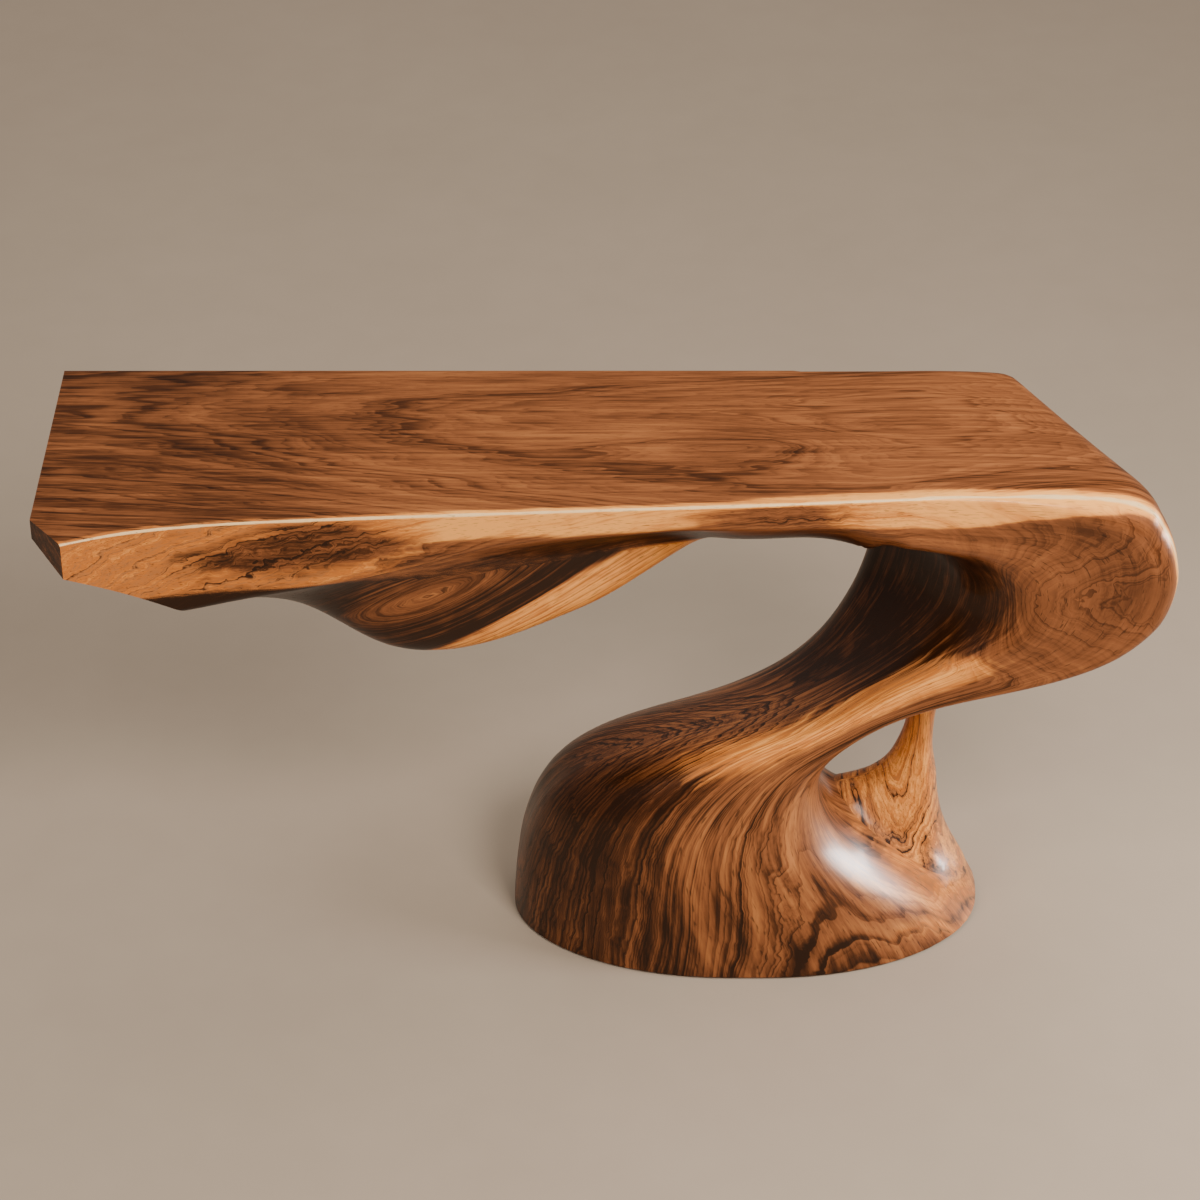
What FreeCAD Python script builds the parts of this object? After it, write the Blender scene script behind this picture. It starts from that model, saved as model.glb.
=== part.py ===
"""Live-edge console table: a natural-edged slab that rolls over at one end into a carved scroll.

The scroll turns back on itself as a swept arm, and the arm flares into the heavy mound of a foot.
A slim branch ties the underside of the arm to the foot, and a keel hangs under the free end of the top.
The blocks are glued on flat joints with loose tenons and dowels, and drawn up with hidden bolts
and rods.
Millimetres, +Z up, +Y towards the wall. X is measured from the free end of the top while modelling,
and everything is moved at the end so that the origin is the bottom centre of the whole box.
"""
import FreeCAD, Part
import math
import os

Vector = FreeCAD.Vector

# Top
TOP_HEIGHT = 760.0
SLAB_THICKNESS = 100.0
TOP_DEPTH_CORNER = 420.0
TOP_DEPTH_ROOT = 316.0
END_TIP_THICKNESS = 28.0
CHIN_INSET = 190.0
CHIN_DROP = 132.0
CORNER_CUT_LENGTH = 45.0
CORNER_CUT_DEPTH = 56.0

# Places of the scroll, foot and branch along X, from the free end of the top
SCROLL_AXIS = 1156.0
FOOT_AXIS = 925.0
BRANCH_AXIS = 1168.0

# Foot
FOOT_LENGTH = 650.0
FOOT_FRONT = 370.0
FOOT_BACK = 10.0
FOOT_JOINT_HEIGHT = 232.0
PAD_PROUD = 3.0

# Sloping joint between scroll and arm, placed on the scroll's axis
ARM_JOINT_DROP = 281.0
ARM_JOINT_SLOPE = 37.0

# Branch, from the back edge of the top
BRANCH_SETBACK = 162.0

# Joinery
GLUE_CLEARANCE = 0.15
TENON_WIDTH = 60.0
TENON_THICKNESS = 14.0
TENON_DEPTH = 40.0
DOWEL_RADIUS = 8.0
DOWEL_DEPTH = 35.0

# Bolts that draw the slab down on the scroll
BOLT_RADIUS = 6.0
BOLT_CLEARANCE = 0.5
BOLT_HEAD_RADIUS = 9.5
BOLT_HEAD_HEIGHT = 12.0
BOLT_SEAT_DROP = 220.0
BOLT_TIP_GAP = 6.0
PLUG_RADIUS = 14.0
WASHER_RADIUS = 13.0
WASHER_THICKNESS = 2.5
INSERT_RADIUS = 9.0
INSERT_LENGTH = 32.0
THREAD_PLAY = 0.05

# Rods that draw the arm down on the foot
ROD_RADIUS = 8.0
ROD_CLEARANCE = 0.5
ROD_INSERT_RADIUS = 12.0
ROD_INSERT_LENGTH = 45.0
ROD_POCKET_RADIUS = 22.0
ROD_SEAT_HEIGHT = 62.0
ROD_WASHER_RADIUS = 20.0
ROD_WASHER_THICKNESS = 3.0
NUT_ACROSS_FLATS = 24.0
NUT_HEIGHT = 13.0
ROD_TAIL = 4.0
ROD_PLUG_THICKNESS = 16.0

# Pads let into the underside of the foot
PAD_RADIUS = 22.0
PAD_THICKNESS = 6.0
PAD_CLEARANCE = 0.2
PAD_RING_SHARE = 0.76
PAD_COUNT = 6

# Natural front edge: distance from the free end, and depth from the back edge
LIVE_EDGE = [
    (110.0, 397.0),
    (189.0, 380.5),
    (265.0, 371.0),
    (342.0, 364.5),
    (460.0, 357.0),
    (594.0, 349.0),
    (740.0, 340.5),
    (899.0, 331.5),
    (1010.0, 324.0),
]

# Hollow under the front edge: distance from the free end, height of the edge left, run back to the joint
LIP = [
    (360.0, 99.0, 2.0),
    (440.0, 81.0, 18.0),
    (568.0, 52.0, 34.0),
    (721.0, 42.0, 58.0),
    (849.0, 36.0, 76.0),
    (977.0, 38.0, 80.0),
    (1054.0, 48.0, 60.0),
    (1112.0, 99.0, 2.0),
]
LIP_CUT_PAST = 6.0
LIP_CUT_BELOW = 12.0

# Keel under the top: distance from the free end, drop of its front edge under the joint,
# depth and drop of its ridge, and the depth where its back meets the slab. Its blank is planed off
# at the joint.
KEEL_PLANED_OFF = 10.0
KEEL = [
    (60.0, 27.0, 300.0, 46.0, 60.0),
    (186.0, 32.0, 295.0, 54.0, 60.0),
    (261.0, 19.0, 290.0, 62.0, 62.0),
    (336.0, 8.0, 288.0, 82.0, 66.0),
    (431.0, 8.0, 286.0, 144.0, 76.0),
    (496.0, 8.0, 285.0, 158.0, 84.0),
    (590.0, 8.0, 275.0, 146.0, 92.0),
    (668.0, 7.0, 262.0, 120.0, 98.0),
    (721.0, 6.0, 252.0, 99.0, 102.0),
    (787.0, 5.0, 240.0, 60.0, 108.0),
    (852.0, 3.0, 228.0, 24.0, 116.0),
    (900.0, 2.0, 218.0, 9.0, 124.0),
]

# Ribbon of scroll, arm and foot, as rounded four-cornered sections. Each has its share of the
# scroll's place, against the foot's, the roundness of its corners, that of its outer front shoulder,
# and its corners from that place: outer front, inner front, inner back and outer back. What stands
# above the top is planed off flush with it.
RIBBON = [
    (1.00, 0.01, 0.01, (-35, 0, 8), (-35, 0, -98), (-165, 0, -98), (-165, 0, 8)),
    (1.00, 0.05, 0.06, (84, 12, -6), (20, 8, -114), (-115, -5, -110), (5, 5, 8)),
    (1.00, 0.08, 0.26, (272, 20, -26), (59, 16, -140), (-85, -10, -138), (101, 5, 8)),
    (1.00, 0.10, 0.34, (344, 24, -71), (78, 19, -170), (-73, -12, -170), (145, 0, -62)),
    (1.00, 0.12, 0.22, (353, 26, -150), (81, 21, -195), (-70, -15, -200), (150, -5, -140)),
    (1.00, 0.14, 0.17, (327, 26, -222), (75, 22, -225), (-75, -20, -240), (130, -10, -225)),
    (1.00, 0.16, 0.17, (269, 26, -280), (57, 24, -248), (-88, -28, -290), (85, -20, -295)),
    (1.00, 0.19, 0.19, (180, 26, -320), (20, 25, -278), (-110, -38, -340), (25, -30, -350)),
    (0.75, 0.22, 0.22, (133, 40, -158), (28, 38, -120), (-87, -50, -205), (13, -42, -205)),
    (0.50, 0.26, 0.26, (96, 47, 6), (11, 43, 28), (-89, -65, -62), (11, -50, -60)),
    (0.25, 0.30, 0.30, (83, 50, 150), (-22, 38, 188), (-112, -80, 102), (28, -52, 70)),
    (0.00, 0.34, 0.34, (102, 46, 270), (-84, 35, 350), (-149, -80, 268), (86, -45, 190)),
    (0.00, 0.40, 0.40, (141, 22, 180), (-214, 18, 290), (-249, -60, 225), (136, -25, 120)),
    (0.00, 0.45, 0.45, (256, 4, 80), (-301, 8, 150), (-314, -20, 120), (246, -5, 60)),
]
FLOOR_ROUNDNESS = 0.46
SECTIONS_BETWEEN = 3

# Branch sections, as reach to the left, reach to the right and half depth: its root by height, its
# head by drop from the arm above it. The root runs to the left in a saddle that meets the foot.
BRANCH_ROOT = [
    (PAD_PROUD, 128.0, 62.0, 84.0),
    (60.0, 130.0, 60.0, 84.0),
    (114.0, 132.0, 44.0, 70.0),
    (150.0, 132.0, 33.0, 60.0),
    (180.0, 122.0, 27.0, 52.0),
    (210.0, 80.0, 23.0, 43.0),
    (245.0, 46.0, 21.0, 34.0),
    (290.0, 27.0, 20.0, 28.0),
]
BRANCH_HEAD = [
    (62.0, 23.0, 22.0, 29.0),
    (30.0, 27.0, 29.0, 37.0),
    (6.0, 33.0, 38.0, 46.0),
    (-18.0, 40.0, 48.0, 56.0),
]
BRANCH_POINTS = 24

# Joinery of the scroll and arm: along X from the scroll's axis, and share of the depth at the root
SCROLL_TENONS = [("back", 5.0, 0.24), ("middle", 70.0, 0.51), ("front", 95.0, 0.77)]
SCROLL_BOLTS = [(110.0, 0.32), (175.0, 0.71)]
ARM_TENONS = [("back", 12.0, 0.35), ("front", 39.0, 0.68)]

# Joinery of the foot, along X from its axis, and of the keel, from the free end, by depth from the
# back edge
FOOT_TENONS = [("left", -94.0, 190.0), ("right", 46.0, 200.0)]
RODS = [(-54.0, 150.0), (-4.0, 245.0)]
KEEL_DOWELS = [
    (330.0, 215.0), (330.0, 290.0), (460.0, 185.0), (460.0, 285.0), (620.0, 185.0), (620.0, 258.0),
]

JOINT_LEVEL = TOP_HEIGHT - SLAB_THICKNESS
SEAT_LEVEL = TOP_HEIGHT - BOLT_SEAT_DROP
FAR = 4000.0
CIRCLE_PULL = 0.5523


def between_levels(low, high):
    """Everything between two heights."""
    return Part.makeBox(2 * FAR, 2 * FAR, high - low, Vector(-FAR, -FAR, low))


def upright(x, depth, low, high, radius):
    """An upright cylinder at a place on the plan."""
    return Part.makeCylinder(radius, high - low, Vector(x, -depth, low))


def upright_tube(x, depth, low, high, radius, bore):
    """An upright cylinder with a bore."""
    return upright(x, depth, low, high, radius).cut(upright(x, depth, low, high, bore))


def biggest(shape):
    """The largest solid of a shape."""
    return max(shape.Solids, key=lambda solid: solid.Volume)


def ribbon_corners(share, corners):
    """The four corners of a ribbon section, placed between the foot and the scroll."""
    x = share * SCROLL_AXIS + (1 - share) * FOOT_AXIS
    front = -(share * TOP_DEPTH_ROOT + (1 - share) * FOOT_FRONT)
    back = (1 - share) * FOOT_BACK
    z = share * TOP_HEIGHT
    sides = (front, front, back, back)
    return [Vector(x + dx, side + dy, z + dz) for side, (dx, dy, dz) in zip(sides, corners)]


def floor_corners():
    """The corners around the foot's outline where it meets the floor."""
    half = FOOT_LENGTH / 2
    outline = [(half, -FOOT_FRONT), (-half, -FOOT_FRONT), (-half, FOOT_BACK), (half, FOOT_BACK)]
    return [Vector(FOOT_AXIS + x, y, PAD_PROUD) for x, y in outline]


def rounded_quad(corners, roundness):
    """A closed wire of four sides and four soft corners, each with its own roundness."""
    edges = []
    for i, corner in enumerate(corners):
        next_one = (i + 1) % 4
        before = corners[i - 1]
        after = corners[next_one]
        start = corner + (before - corner) * roundness[i]
        end = corner + (after - corner) * roundness[i]
        bend = Part.BezierCurve()
        leaving = start + (corner - start) * CIRCLE_PULL
        arriving = end + (corner - end) * CIRCLE_PULL
        bend.setPoles([start, leaving, arriving, end])
        edges.append(bend.toShape())
        edges.append(Part.LineSegment(end, after + (corner - after) * roundness[next_one]).toShape())
    return Part.Wire(edges)


def make_ribbon():
    """Scroll, arm and foot as one carved form, planed flat at the height of the top."""
    stations = [ribbon_corners(share, corners) for share, _, _, *corners in RIBBON]
    stations.append(floor_corners())
    softness = [[shoulder, soft, soft, soft] for _, soft, shoulder, *_ in RIBBON]
    softness.append([FLOOR_ROUNDNESS] * 4)
    centres = [(a + b + c + d) * 0.25 for a, b, c, d in stations]
    travel = [0.0]
    for before, after in zip(centres, centres[1:]):
        travel.append(travel[-1] + (after - before).Length)
    paths = []
    for corner in range(4):
        path = Part.BSplineCurve()
        path.interpolate([station[corner] for station in stations], Parameters=travel)
        paths.append(path)
    wires = []
    for i in range(len(stations) - 1):
        for step in range(SECTIONS_BETWEEN):
            part_way = step / SECTIONS_BETWEEN
            at = travel[i] + (travel[i + 1] - travel[i]) * part_way
            soft = [a + (b - a) * part_way for a, b in zip(softness[i], softness[i + 1])]
            wires.append(rounded_quad([path.value(at) for path in paths], soft))
    wires.append(rounded_quad(stations[-1], softness[-1]))
    return Part.makeLoft(wires, True, False).common(between_levels(0, TOP_HEIGHT))


def flowing(points):
    """A smooth curve through points, its parameter their distance from the free end."""
    curve = Part.BSplineCurve()
    curve.interpolate(points, Parameters=[point.x for point in points])
    return curve


def lip_at(x):
    """Height of the front edge and run back to the joint, at a distance from the free end."""
    x = min(max(x, LIP[0][0]), LIP[-1][0])
    place = flowing([Vector(*row) for row in LIP]).value(x)
    return place.y, place.z


def make_live_edge():
    """The natural front edge of the top, its parameter the distance from the free end."""
    root = SCROLL_AXIS + RIBBON[0][3][0]
    places = [(CORNER_CUT_LENGTH, TOP_DEPTH_CORNER), *LIVE_EDGE, (root, TOP_DEPTH_ROOT)]
    return flowing([Vector(x, -depth, TOP_HEIGHT) for x, depth in places])


def make_lip_cutter(live_edge):
    """The hollow that thins the front edge above the joint."""
    wires = []
    for low, high in zip(LIP, [*LIP[1:], None]):
        places = [low[0]] if high is None else [low[0], (low[0] + high[0]) / 2]
        for x in places:
            lip, run = lip_at(x)
            edge = Vector(x, live_edge.value(x).y, TOP_HEIGHT - lip)
            inner = Vector(x, edge.y + run, JOINT_LEVEL)
            slope = (inner - edge) * (LIP_CUT_PAST / run)
            outer = edge - slope
            deep = inner + slope
            bottom = JOINT_LEVEL - LIP_CUT_BELOW
            wires.append(Part.makePolygon([
                outer, deep, Vector(x, deep.y, bottom), Vector(x, outer.y, bottom), outer,
            ]))
    return Part.makeLoft(wires, True, False)


def make_end_cutter():
    """The slanting undercut that leaves a thin tip at the free end of the top."""
    tip = Vector(0, 0, TOP_HEIGHT - END_TIP_THICKNESS)
    slope = Vector(CHIN_INSET, 0, END_TIP_THICKNESS - CHIN_DROP)
    near = tip - slope * 2
    far = tip + slope * 4
    wire = Part.makePolygon([near, far, Vector(near.x, 0, far.z), near])
    prism = Part.Face(wire).extrude(Vector(0, 2 * FAR, 0))
    prism.translate(Vector(0, -FAR, 0))
    return prism


def make_slab_blank(live_edge):
    """The flat of the slab up to the root of the scroll, with its natural front edge."""
    root_front, _, _, root_back = ribbon_corners(RIBBON[0][0], RIBBON[0][3:])
    root_front.z = TOP_HEIGHT
    root_back.z = TOP_HEIGHT
    corner = Vector(CORNER_CUT_LENGTH, -TOP_DEPTH_CORNER, TOP_HEIGHT)
    end_front = Vector(0, CORNER_CUT_DEPTH - TOP_DEPTH_CORNER, TOP_HEIGHT)
    end_back = Vector(0, 0, TOP_HEIGHT)
    rest = Part.makePolygon([root_front, root_back, end_back, end_front, corner])
    outline = Part.Wire([live_edge.toShape(), *rest.Edges])
    return Part.Face(outline).extrude(Vector(0, 0, -SLAB_THICKNESS))


def make_keel(live_edge, end_cutter):
    """The carved keel under the free end, flat where it is glued to the slab."""
    wires = []
    for x, lip_drop, ridge, ridge_drop, back in KEEL:
        front = -live_edge.value(x).y - lip_at(x)[1]
        top_front = Vector(x, -front, JOINT_LEVEL + KEEL_PLANED_OFF)
        lip = Vector(x, -front + lip_drop * 0.25, JOINT_LEVEL - lip_drop)
        crest = Vector(x, -ridge, JOINT_LEVEL - ridge_drop)
        rear = Vector(x, -(ridge * 0.55 + back * 0.45), JOINT_LEVEL - ridge_drop * 0.62)
        back_edge = Vector(x, -back, JOINT_LEVEL)
        rise = back_edge - rear
        top_back = back_edge + rise * (KEEL_PLANED_OFF / rise.z)
        belly = Part.BSplineCurve()
        belly.interpolate([lip, crest, rear, back_edge, top_back])
        edges = [
            Part.LineSegment(top_front, lip).toShape(),
            belly.toShape(),
            Part.LineSegment(top_back, top_front).toShape(),
        ]
        wires.append(Part.Wire(edges))
    keel = Part.makeLoft(wires, True, False).common(between_levels(0, JOINT_LEVEL))
    return keel.cut(end_cutter)


def branch_contacts(ribbon):
    """Heights where the branch's axis leaves the foot and meets the arm."""
    floor_point = Vector(BRANCH_AXIS, -BRANCH_SETBACK, 0)
    axis = Part.makeLine(floor_point, floor_point + Vector(0, 0, TOP_HEIGHT))
    runs = sorted(axis.common(ribbon).Edges, key=lambda run: run.BoundBox.ZMin)
    return runs[0].BoundBox.ZMax, runs[1].BoundBox.ZMin


def make_branch(ribbon, arm_level):
    """The slim branch between foot and arm, coped to both."""
    rows = [*BRANCH_ROOT, *[(arm_level - drop, *reach) for drop, *reach in BRANCH_HEAD]]
    steps = [i / BRANCH_POINTS for i in range(BRANCH_POINTS + 1)]
    wires = []
    for height, left, right, half_depth in rows:
        outline = []
        for i in range(BRANCH_POINTS):
            turn = 2 * math.pi * i / BRANCH_POINTS
            reach = right if math.cos(turn) > 0 else left
            x = BRANCH_AXIS + reach * math.cos(turn)
            outline.append(Vector(x, half_depth * math.sin(turn) - BRANCH_SETBACK, height))
        curve = Part.BSplineCurve()
        curve.interpolate(outline, PeriodicFlag=True, Parameters=steps)
        wires.append(Part.Wire(curve.toShape()))
    return biggest(Part.makeLoft(wires, True, False).cut(ribbon))


def loose_tenon(grow):
    """A loose tenon with rounded edges, upright about the origin, grown all round for its mortise."""
    half_flat = (TENON_WIDTH - TENON_THICKNESS) / 2
    radius = TENON_THICKNESS / 2 + grow
    reach = TENON_DEPTH + grow
    left_low = Vector(-radius, -half_flat, -reach)
    left_high = Vector(-radius, half_flat, -reach)
    right_high = Vector(radius, half_flat, -reach)
    right_low = Vector(radius, -half_flat, -reach)
    far_tip = Vector(0, half_flat + radius, -reach)
    near_tip = Vector(0, -half_flat - radius, -reach)
    edges = [
        Part.LineSegment(left_low, left_high).toShape(),
        Part.Arc(left_high, far_tip, right_high).toShape(),
        Part.LineSegment(right_high, right_low).toShape(),
        Part.Arc(right_low, near_tip, left_low).toShape(),
    ]
    return Part.Face(Part.Wire(edges)).extrude(Vector(0, 0, 2 * reach))


def placed_tenon(place, tilt, grow):
    """A loose tenon at a place on its joint, tilted with the joint about Y."""
    tenon = loose_tenon(grow)
    tenon.rotate(Vector(0, 0, 0), Vector(0, 1, 0), tilt)
    tenon.translate(place)
    return tenon


def nut(x, depth, low):
    """A six-sided nut on a rod."""
    radius = NUT_ACROSS_FLATS / math.sqrt(3)
    turns = [math.radians(60 * i) for i in range(7)]
    ring = [Vector(x + radius * math.cos(a), -depth + radius * math.sin(a), low) for a in turns]
    block = Part.Face(Part.makePolygon(ring)).extrude(Vector(0, 0, NUT_HEIGHT))
    return block.cut(upright(x, depth, low, low + NUT_HEIGHT, ROD_RADIUS + THREAD_PLAY))


# Carved forms
ribbon = make_ribbon()
above_joint = between_levels(JOINT_LEVEL, FAR)
end_cutter = make_end_cutter()
live_edge = make_live_edge()
slab = make_slab_blank(live_edge).fuse(ribbon.common(above_joint)).removeSplitter()
slab = slab.cut(make_lip_cutter(live_edge)).cut(end_cutter)
keel = make_keel(live_edge, end_cutter)
foot_level, arm_level = branch_contacts(ribbon)
branch = make_branch(ribbon, arm_level)

# The ribbon below the joint, sawn into scroll, arm and foot
arm_joint = Vector(SCROLL_AXIS, 0, TOP_HEIGHT - ARM_JOINT_DROP)
below_arm_joint = Part.makeBox(2 * FAR, 2 * FAR, FAR, Vector(-FAR, -FAR, -FAR))
below_arm_joint.rotate(Vector(0, 0, 0), Vector(0, 1, 0), ARM_JOINT_SLOPE)
below_arm_joint.translate(arm_joint)
lower = ribbon.cut(above_joint)
scroll = lower.cut(below_arm_joint)
leg = lower.common(below_arm_joint)
arm = leg.common(between_levels(FOOT_JOINT_HEIGHT, FAR))
foot = leg.common(between_levels(0, FOOT_JOINT_HEIGHT))

nodes = {}

# Loose tenons between slab and scroll, scroll and arm, arm and foot
for name, dx, share in SCROLL_TENONS:
    place = Vector(SCROLL_AXIS + dx, -share * TOP_DEPTH_ROOT, JOINT_LEVEL)
    nodes["scroll_tenon_" + name] = placed_tenon(place, 0, 0)
    mortise = placed_tenon(place, 0, GLUE_CLEARANCE)
    slab = slab.cut(mortise)
    scroll = scroll.cut(mortise)
downhill = Vector(math.cos(math.radians(ARM_JOINT_SLOPE)), 0, -math.sin(math.radians(ARM_JOINT_SLOPE)))
for name, along, share in ARM_TENONS:
    place = arm_joint + downhill * along - Vector(0, share * TOP_DEPTH_ROOT, 0)
    nodes["arm_tenon_" + name] = placed_tenon(place, ARM_JOINT_SLOPE, 0)
    mortise = placed_tenon(place, ARM_JOINT_SLOPE, GLUE_CLEARANCE)
    scroll = scroll.cut(mortise)
    arm = arm.cut(mortise)
for name, dx, depth in FOOT_TENONS:
    place = Vector(FOOT_AXIS + dx, -depth, FOOT_JOINT_HEIGHT)
    nodes["foot_tenon_" + name] = placed_tenon(place, 0, 0)
    mortise = placed_tenon(place, 0, GLUE_CLEARANCE)
    arm = arm.cut(mortise)
    foot = foot.cut(mortise)

# Dowels under the slab and at both ends of the branch
dowels = []
for x, depth in KEEL_DOWELS:
    dowels.append(upright(x, depth, JOINT_LEVEL - DOWEL_DEPTH, JOINT_LEVEL + DOWEL_DEPTH, DOWEL_RADIUS))
    hole_low = JOINT_LEVEL - DOWEL_DEPTH - GLUE_CLEARANCE
    hole_high = JOINT_LEVEL + DOWEL_DEPTH + GLUE_CLEARANCE
    hole = upright(x, depth, hole_low, hole_high, DOWEL_RADIUS + GLUE_CLEARANCE)
    slab = slab.cut(hole)
    keel = keel.cut(hole)
nodes["keel_dowels"] = Part.makeCompound(dowels)
for name, level in (("low", foot_level), ("high", arm_level)):
    low = level - DOWEL_DEPTH
    high = level + DOWEL_DEPTH
    nodes["branch_dowel_" + name] = upright(BRANCH_AXIS, BRANCH_SETBACK, low, high, DOWEL_RADIUS)
    hole_radius = DOWEL_RADIUS + GLUE_CLEARANCE
    hole = upright(BRANCH_AXIS, BRANCH_SETBACK, low - GLUE_CLEARANCE, high + GLUE_CLEARANCE, hole_radius)
    branch = branch.cut(hole)
    foot = foot.cut(hole)
    arm = arm.cut(hole)

# Bolts up through the scroll into threaded inserts in the slab, with plugs over their heads
bolts = []
bolt_washers = []
bolt_inserts = []
bolt_plugs = []
for dx, share in SCROLL_BOLTS:
    x = SCROLL_AXIS + dx
    depth = share * TOP_DEPTH_ROOT
    insert_top = JOINT_LEVEL + INSERT_LENGTH
    head_top = SEAT_LEVEL - WASHER_THICKNESS
    head_low = head_top - BOLT_HEAD_HEIGHT
    shank = upright(x, depth, head_top, insert_top - BOLT_TIP_GAP, BOLT_RADIUS)
    bolts.append(shank.fuse(upright(x, depth, head_low, head_top, BOLT_HEAD_RADIUS)).removeSplitter())
    bore = BOLT_RADIUS + BOLT_CLEARANCE
    bolt_washers.append(upright_tube(x, depth, head_top, SEAT_LEVEL, WASHER_RADIUS, bore))
    thread = BOLT_RADIUS + THREAD_PLAY
    bolt_inserts.append(upright_tube(x, depth, JOINT_LEVEL, insert_top, INSERT_RADIUS, thread))
    slab = slab.cut(upright(x, depth, JOINT_LEVEL, insert_top, INSERT_RADIUS))
    bolt_plugs.append(upright(x, depth, 0, head_low, PLUG_RADIUS).common(scroll))
    scroll = scroll.cut(upright(x, depth, SEAT_LEVEL, JOINT_LEVEL, bore))
    scroll = scroll.cut(upright(x, depth, 0, SEAT_LEVEL, PLUG_RADIUS))
nodes["scroll_bolts"] = Part.makeCompound(bolts)
nodes["scroll_bolt_washers"] = Part.makeCompound(bolt_washers)
nodes["scroll_bolt_inserts"] = Part.makeCompound(bolt_inserts)
nodes["scroll_bolt_plugs"] = Part.makeCompound(bolt_plugs)

# Rods up through the foot into threaded inserts in the arm, with nuts, washers and plugs below
rods = []
rod_inserts = []
rod_washers = []
rod_nuts = []
rod_plugs = []
for dx, depth in RODS:
    x = FOOT_AXIS + dx
    insert_top = FOOT_JOINT_HEIGHT + ROD_INSERT_LENGTH
    washer_low = ROD_SEAT_HEIGHT - ROD_WASHER_THICKNESS
    nut_low = washer_low - NUT_HEIGHT
    rods.append(upright(x, depth, nut_low - ROD_TAIL, insert_top, ROD_RADIUS))
    thread = ROD_RADIUS + THREAD_PLAY
    rod_inserts.append(upright_tube(x, depth, FOOT_JOINT_HEIGHT, insert_top, ROD_INSERT_RADIUS, thread))
    arm = arm.cut(upright(x, depth, FOOT_JOINT_HEIGHT, insert_top, ROD_INSERT_RADIUS))
    bore = ROD_RADIUS + ROD_CLEARANCE
    rod_washers.append(upright_tube(x, depth, washer_low, ROD_SEAT_HEIGHT, ROD_WASHER_RADIUS, bore))
    rod_nuts.append(nut(x, depth, nut_low))
    plug_top = PAD_PROUD + ROD_PLUG_THICKNESS
    rod_plugs.append(upright(x, depth, PAD_PROUD, plug_top, ROD_POCKET_RADIUS))
    foot = foot.cut(upright(x, depth, ROD_SEAT_HEIGHT, FOOT_JOINT_HEIGHT, bore))
    foot = foot.cut(upright(x, depth, 0, ROD_SEAT_HEIGHT, ROD_POCKET_RADIUS))
nodes["draw_rods"] = Part.makeCompound(rods)
nodes["draw_rod_inserts"] = Part.makeCompound(rod_inserts)
nodes["draw_rod_washers"] = Part.makeCompound(rod_washers)
nodes["draw_rod_nuts"] = Part.makeCompound(rod_nuts)
nodes["draw_rod_plugs"] = Part.makeCompound(rod_plugs)

# Pads in a ring under the foot
pads = []
for i in range(PAD_COUNT):
    turn = 2 * math.pi * i / PAD_COUNT
    x = FOOT_AXIS + PAD_RING_SHARE * FOOT_LENGTH / 2 * math.cos(turn)
    half_depth = (FOOT_FRONT + FOOT_BACK) / 2
    depth = FOOT_FRONT - half_depth - PAD_RING_SHARE * half_depth * math.sin(turn)
    pads.append(upright(x, depth, 0, PAD_THICKNESS, PAD_RADIUS))
    foot = foot.cut(upright(x, depth, 0, PAD_THICKNESS, PAD_RADIUS + PAD_CLEARANCE))
nodes["floor_pads"] = Part.makeCompound(pads)

nodes["top_slab"] = slab
nodes["keel_block"] = keel
nodes["scroll_block"] = scroll
nodes["arm_block"] = arm
nodes["foot_block"] = foot
nodes["branch_strut"] = branch

# Everything moved so that the origin is the bottom centre of the box round the whole table
whole = Part.makeCompound(list(nodes.values())).optimalBoundingBox(False)
move = Vector(-whole.Center.x, -whole.Center.y, -whole.ZMin)
os.makedirs("parts", exist_ok=True)
for name, shape in nodes.items():
    shape.translate(move)
    shape.exportStep("parts/" + name + ".step")
    print(name, shape.isValid(), len(shape.Solids), round(shape.Volume / 1000, 1))
print("branch between", round(foot_level, 1), round(arm_level, 1))
print("moved by", move)
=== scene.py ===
"""Live-edge console table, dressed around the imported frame.

Top, scroll, arm and foot are one flowing form: a run of four-sided sections from the free end of the
top to the floor, sawn into blocks at the same joints as the solids. The grain follows that run.
Sections are worked out in millimetres: X from the free end, Y from the back edge, Z from the floor.
"""

import math

import bmesh
import bpy
import numpy as np
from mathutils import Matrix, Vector
from mathutils.bvhtree import BVHTree
from mathutils.kdtree import KDTree


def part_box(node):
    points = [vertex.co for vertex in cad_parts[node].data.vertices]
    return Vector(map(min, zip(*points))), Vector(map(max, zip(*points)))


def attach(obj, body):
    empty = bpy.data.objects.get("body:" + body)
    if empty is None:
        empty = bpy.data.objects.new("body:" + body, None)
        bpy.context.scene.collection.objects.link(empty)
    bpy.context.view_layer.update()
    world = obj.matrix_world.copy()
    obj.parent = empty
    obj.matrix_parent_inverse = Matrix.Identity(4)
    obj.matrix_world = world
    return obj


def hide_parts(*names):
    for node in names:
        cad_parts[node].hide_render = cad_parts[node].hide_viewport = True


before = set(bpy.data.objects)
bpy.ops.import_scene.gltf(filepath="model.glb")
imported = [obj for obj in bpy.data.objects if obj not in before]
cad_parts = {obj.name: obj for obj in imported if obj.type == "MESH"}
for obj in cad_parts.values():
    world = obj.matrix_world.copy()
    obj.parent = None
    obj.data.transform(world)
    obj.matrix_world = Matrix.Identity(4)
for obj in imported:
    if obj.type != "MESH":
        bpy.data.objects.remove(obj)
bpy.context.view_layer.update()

# Driving sizes, in millimetres
MM = 0.001
TOP_DEPTH_ROOT = 316.0
TENON_SHARE = 0.24
FOOT_FRONT = 370.0
FOOT_BACK = 10.0
SCROLL_AXIS = 1156.0
ROOT_FRONT_INSET = 35.0
ROOT_BACK_INSET = 165.0
FOOT_AXIS = 925.0
BRANCH_AXIS = 1168.0
BRANCH_SETBACK = 162.0
TIP_THICKNESS = 28.0
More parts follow.
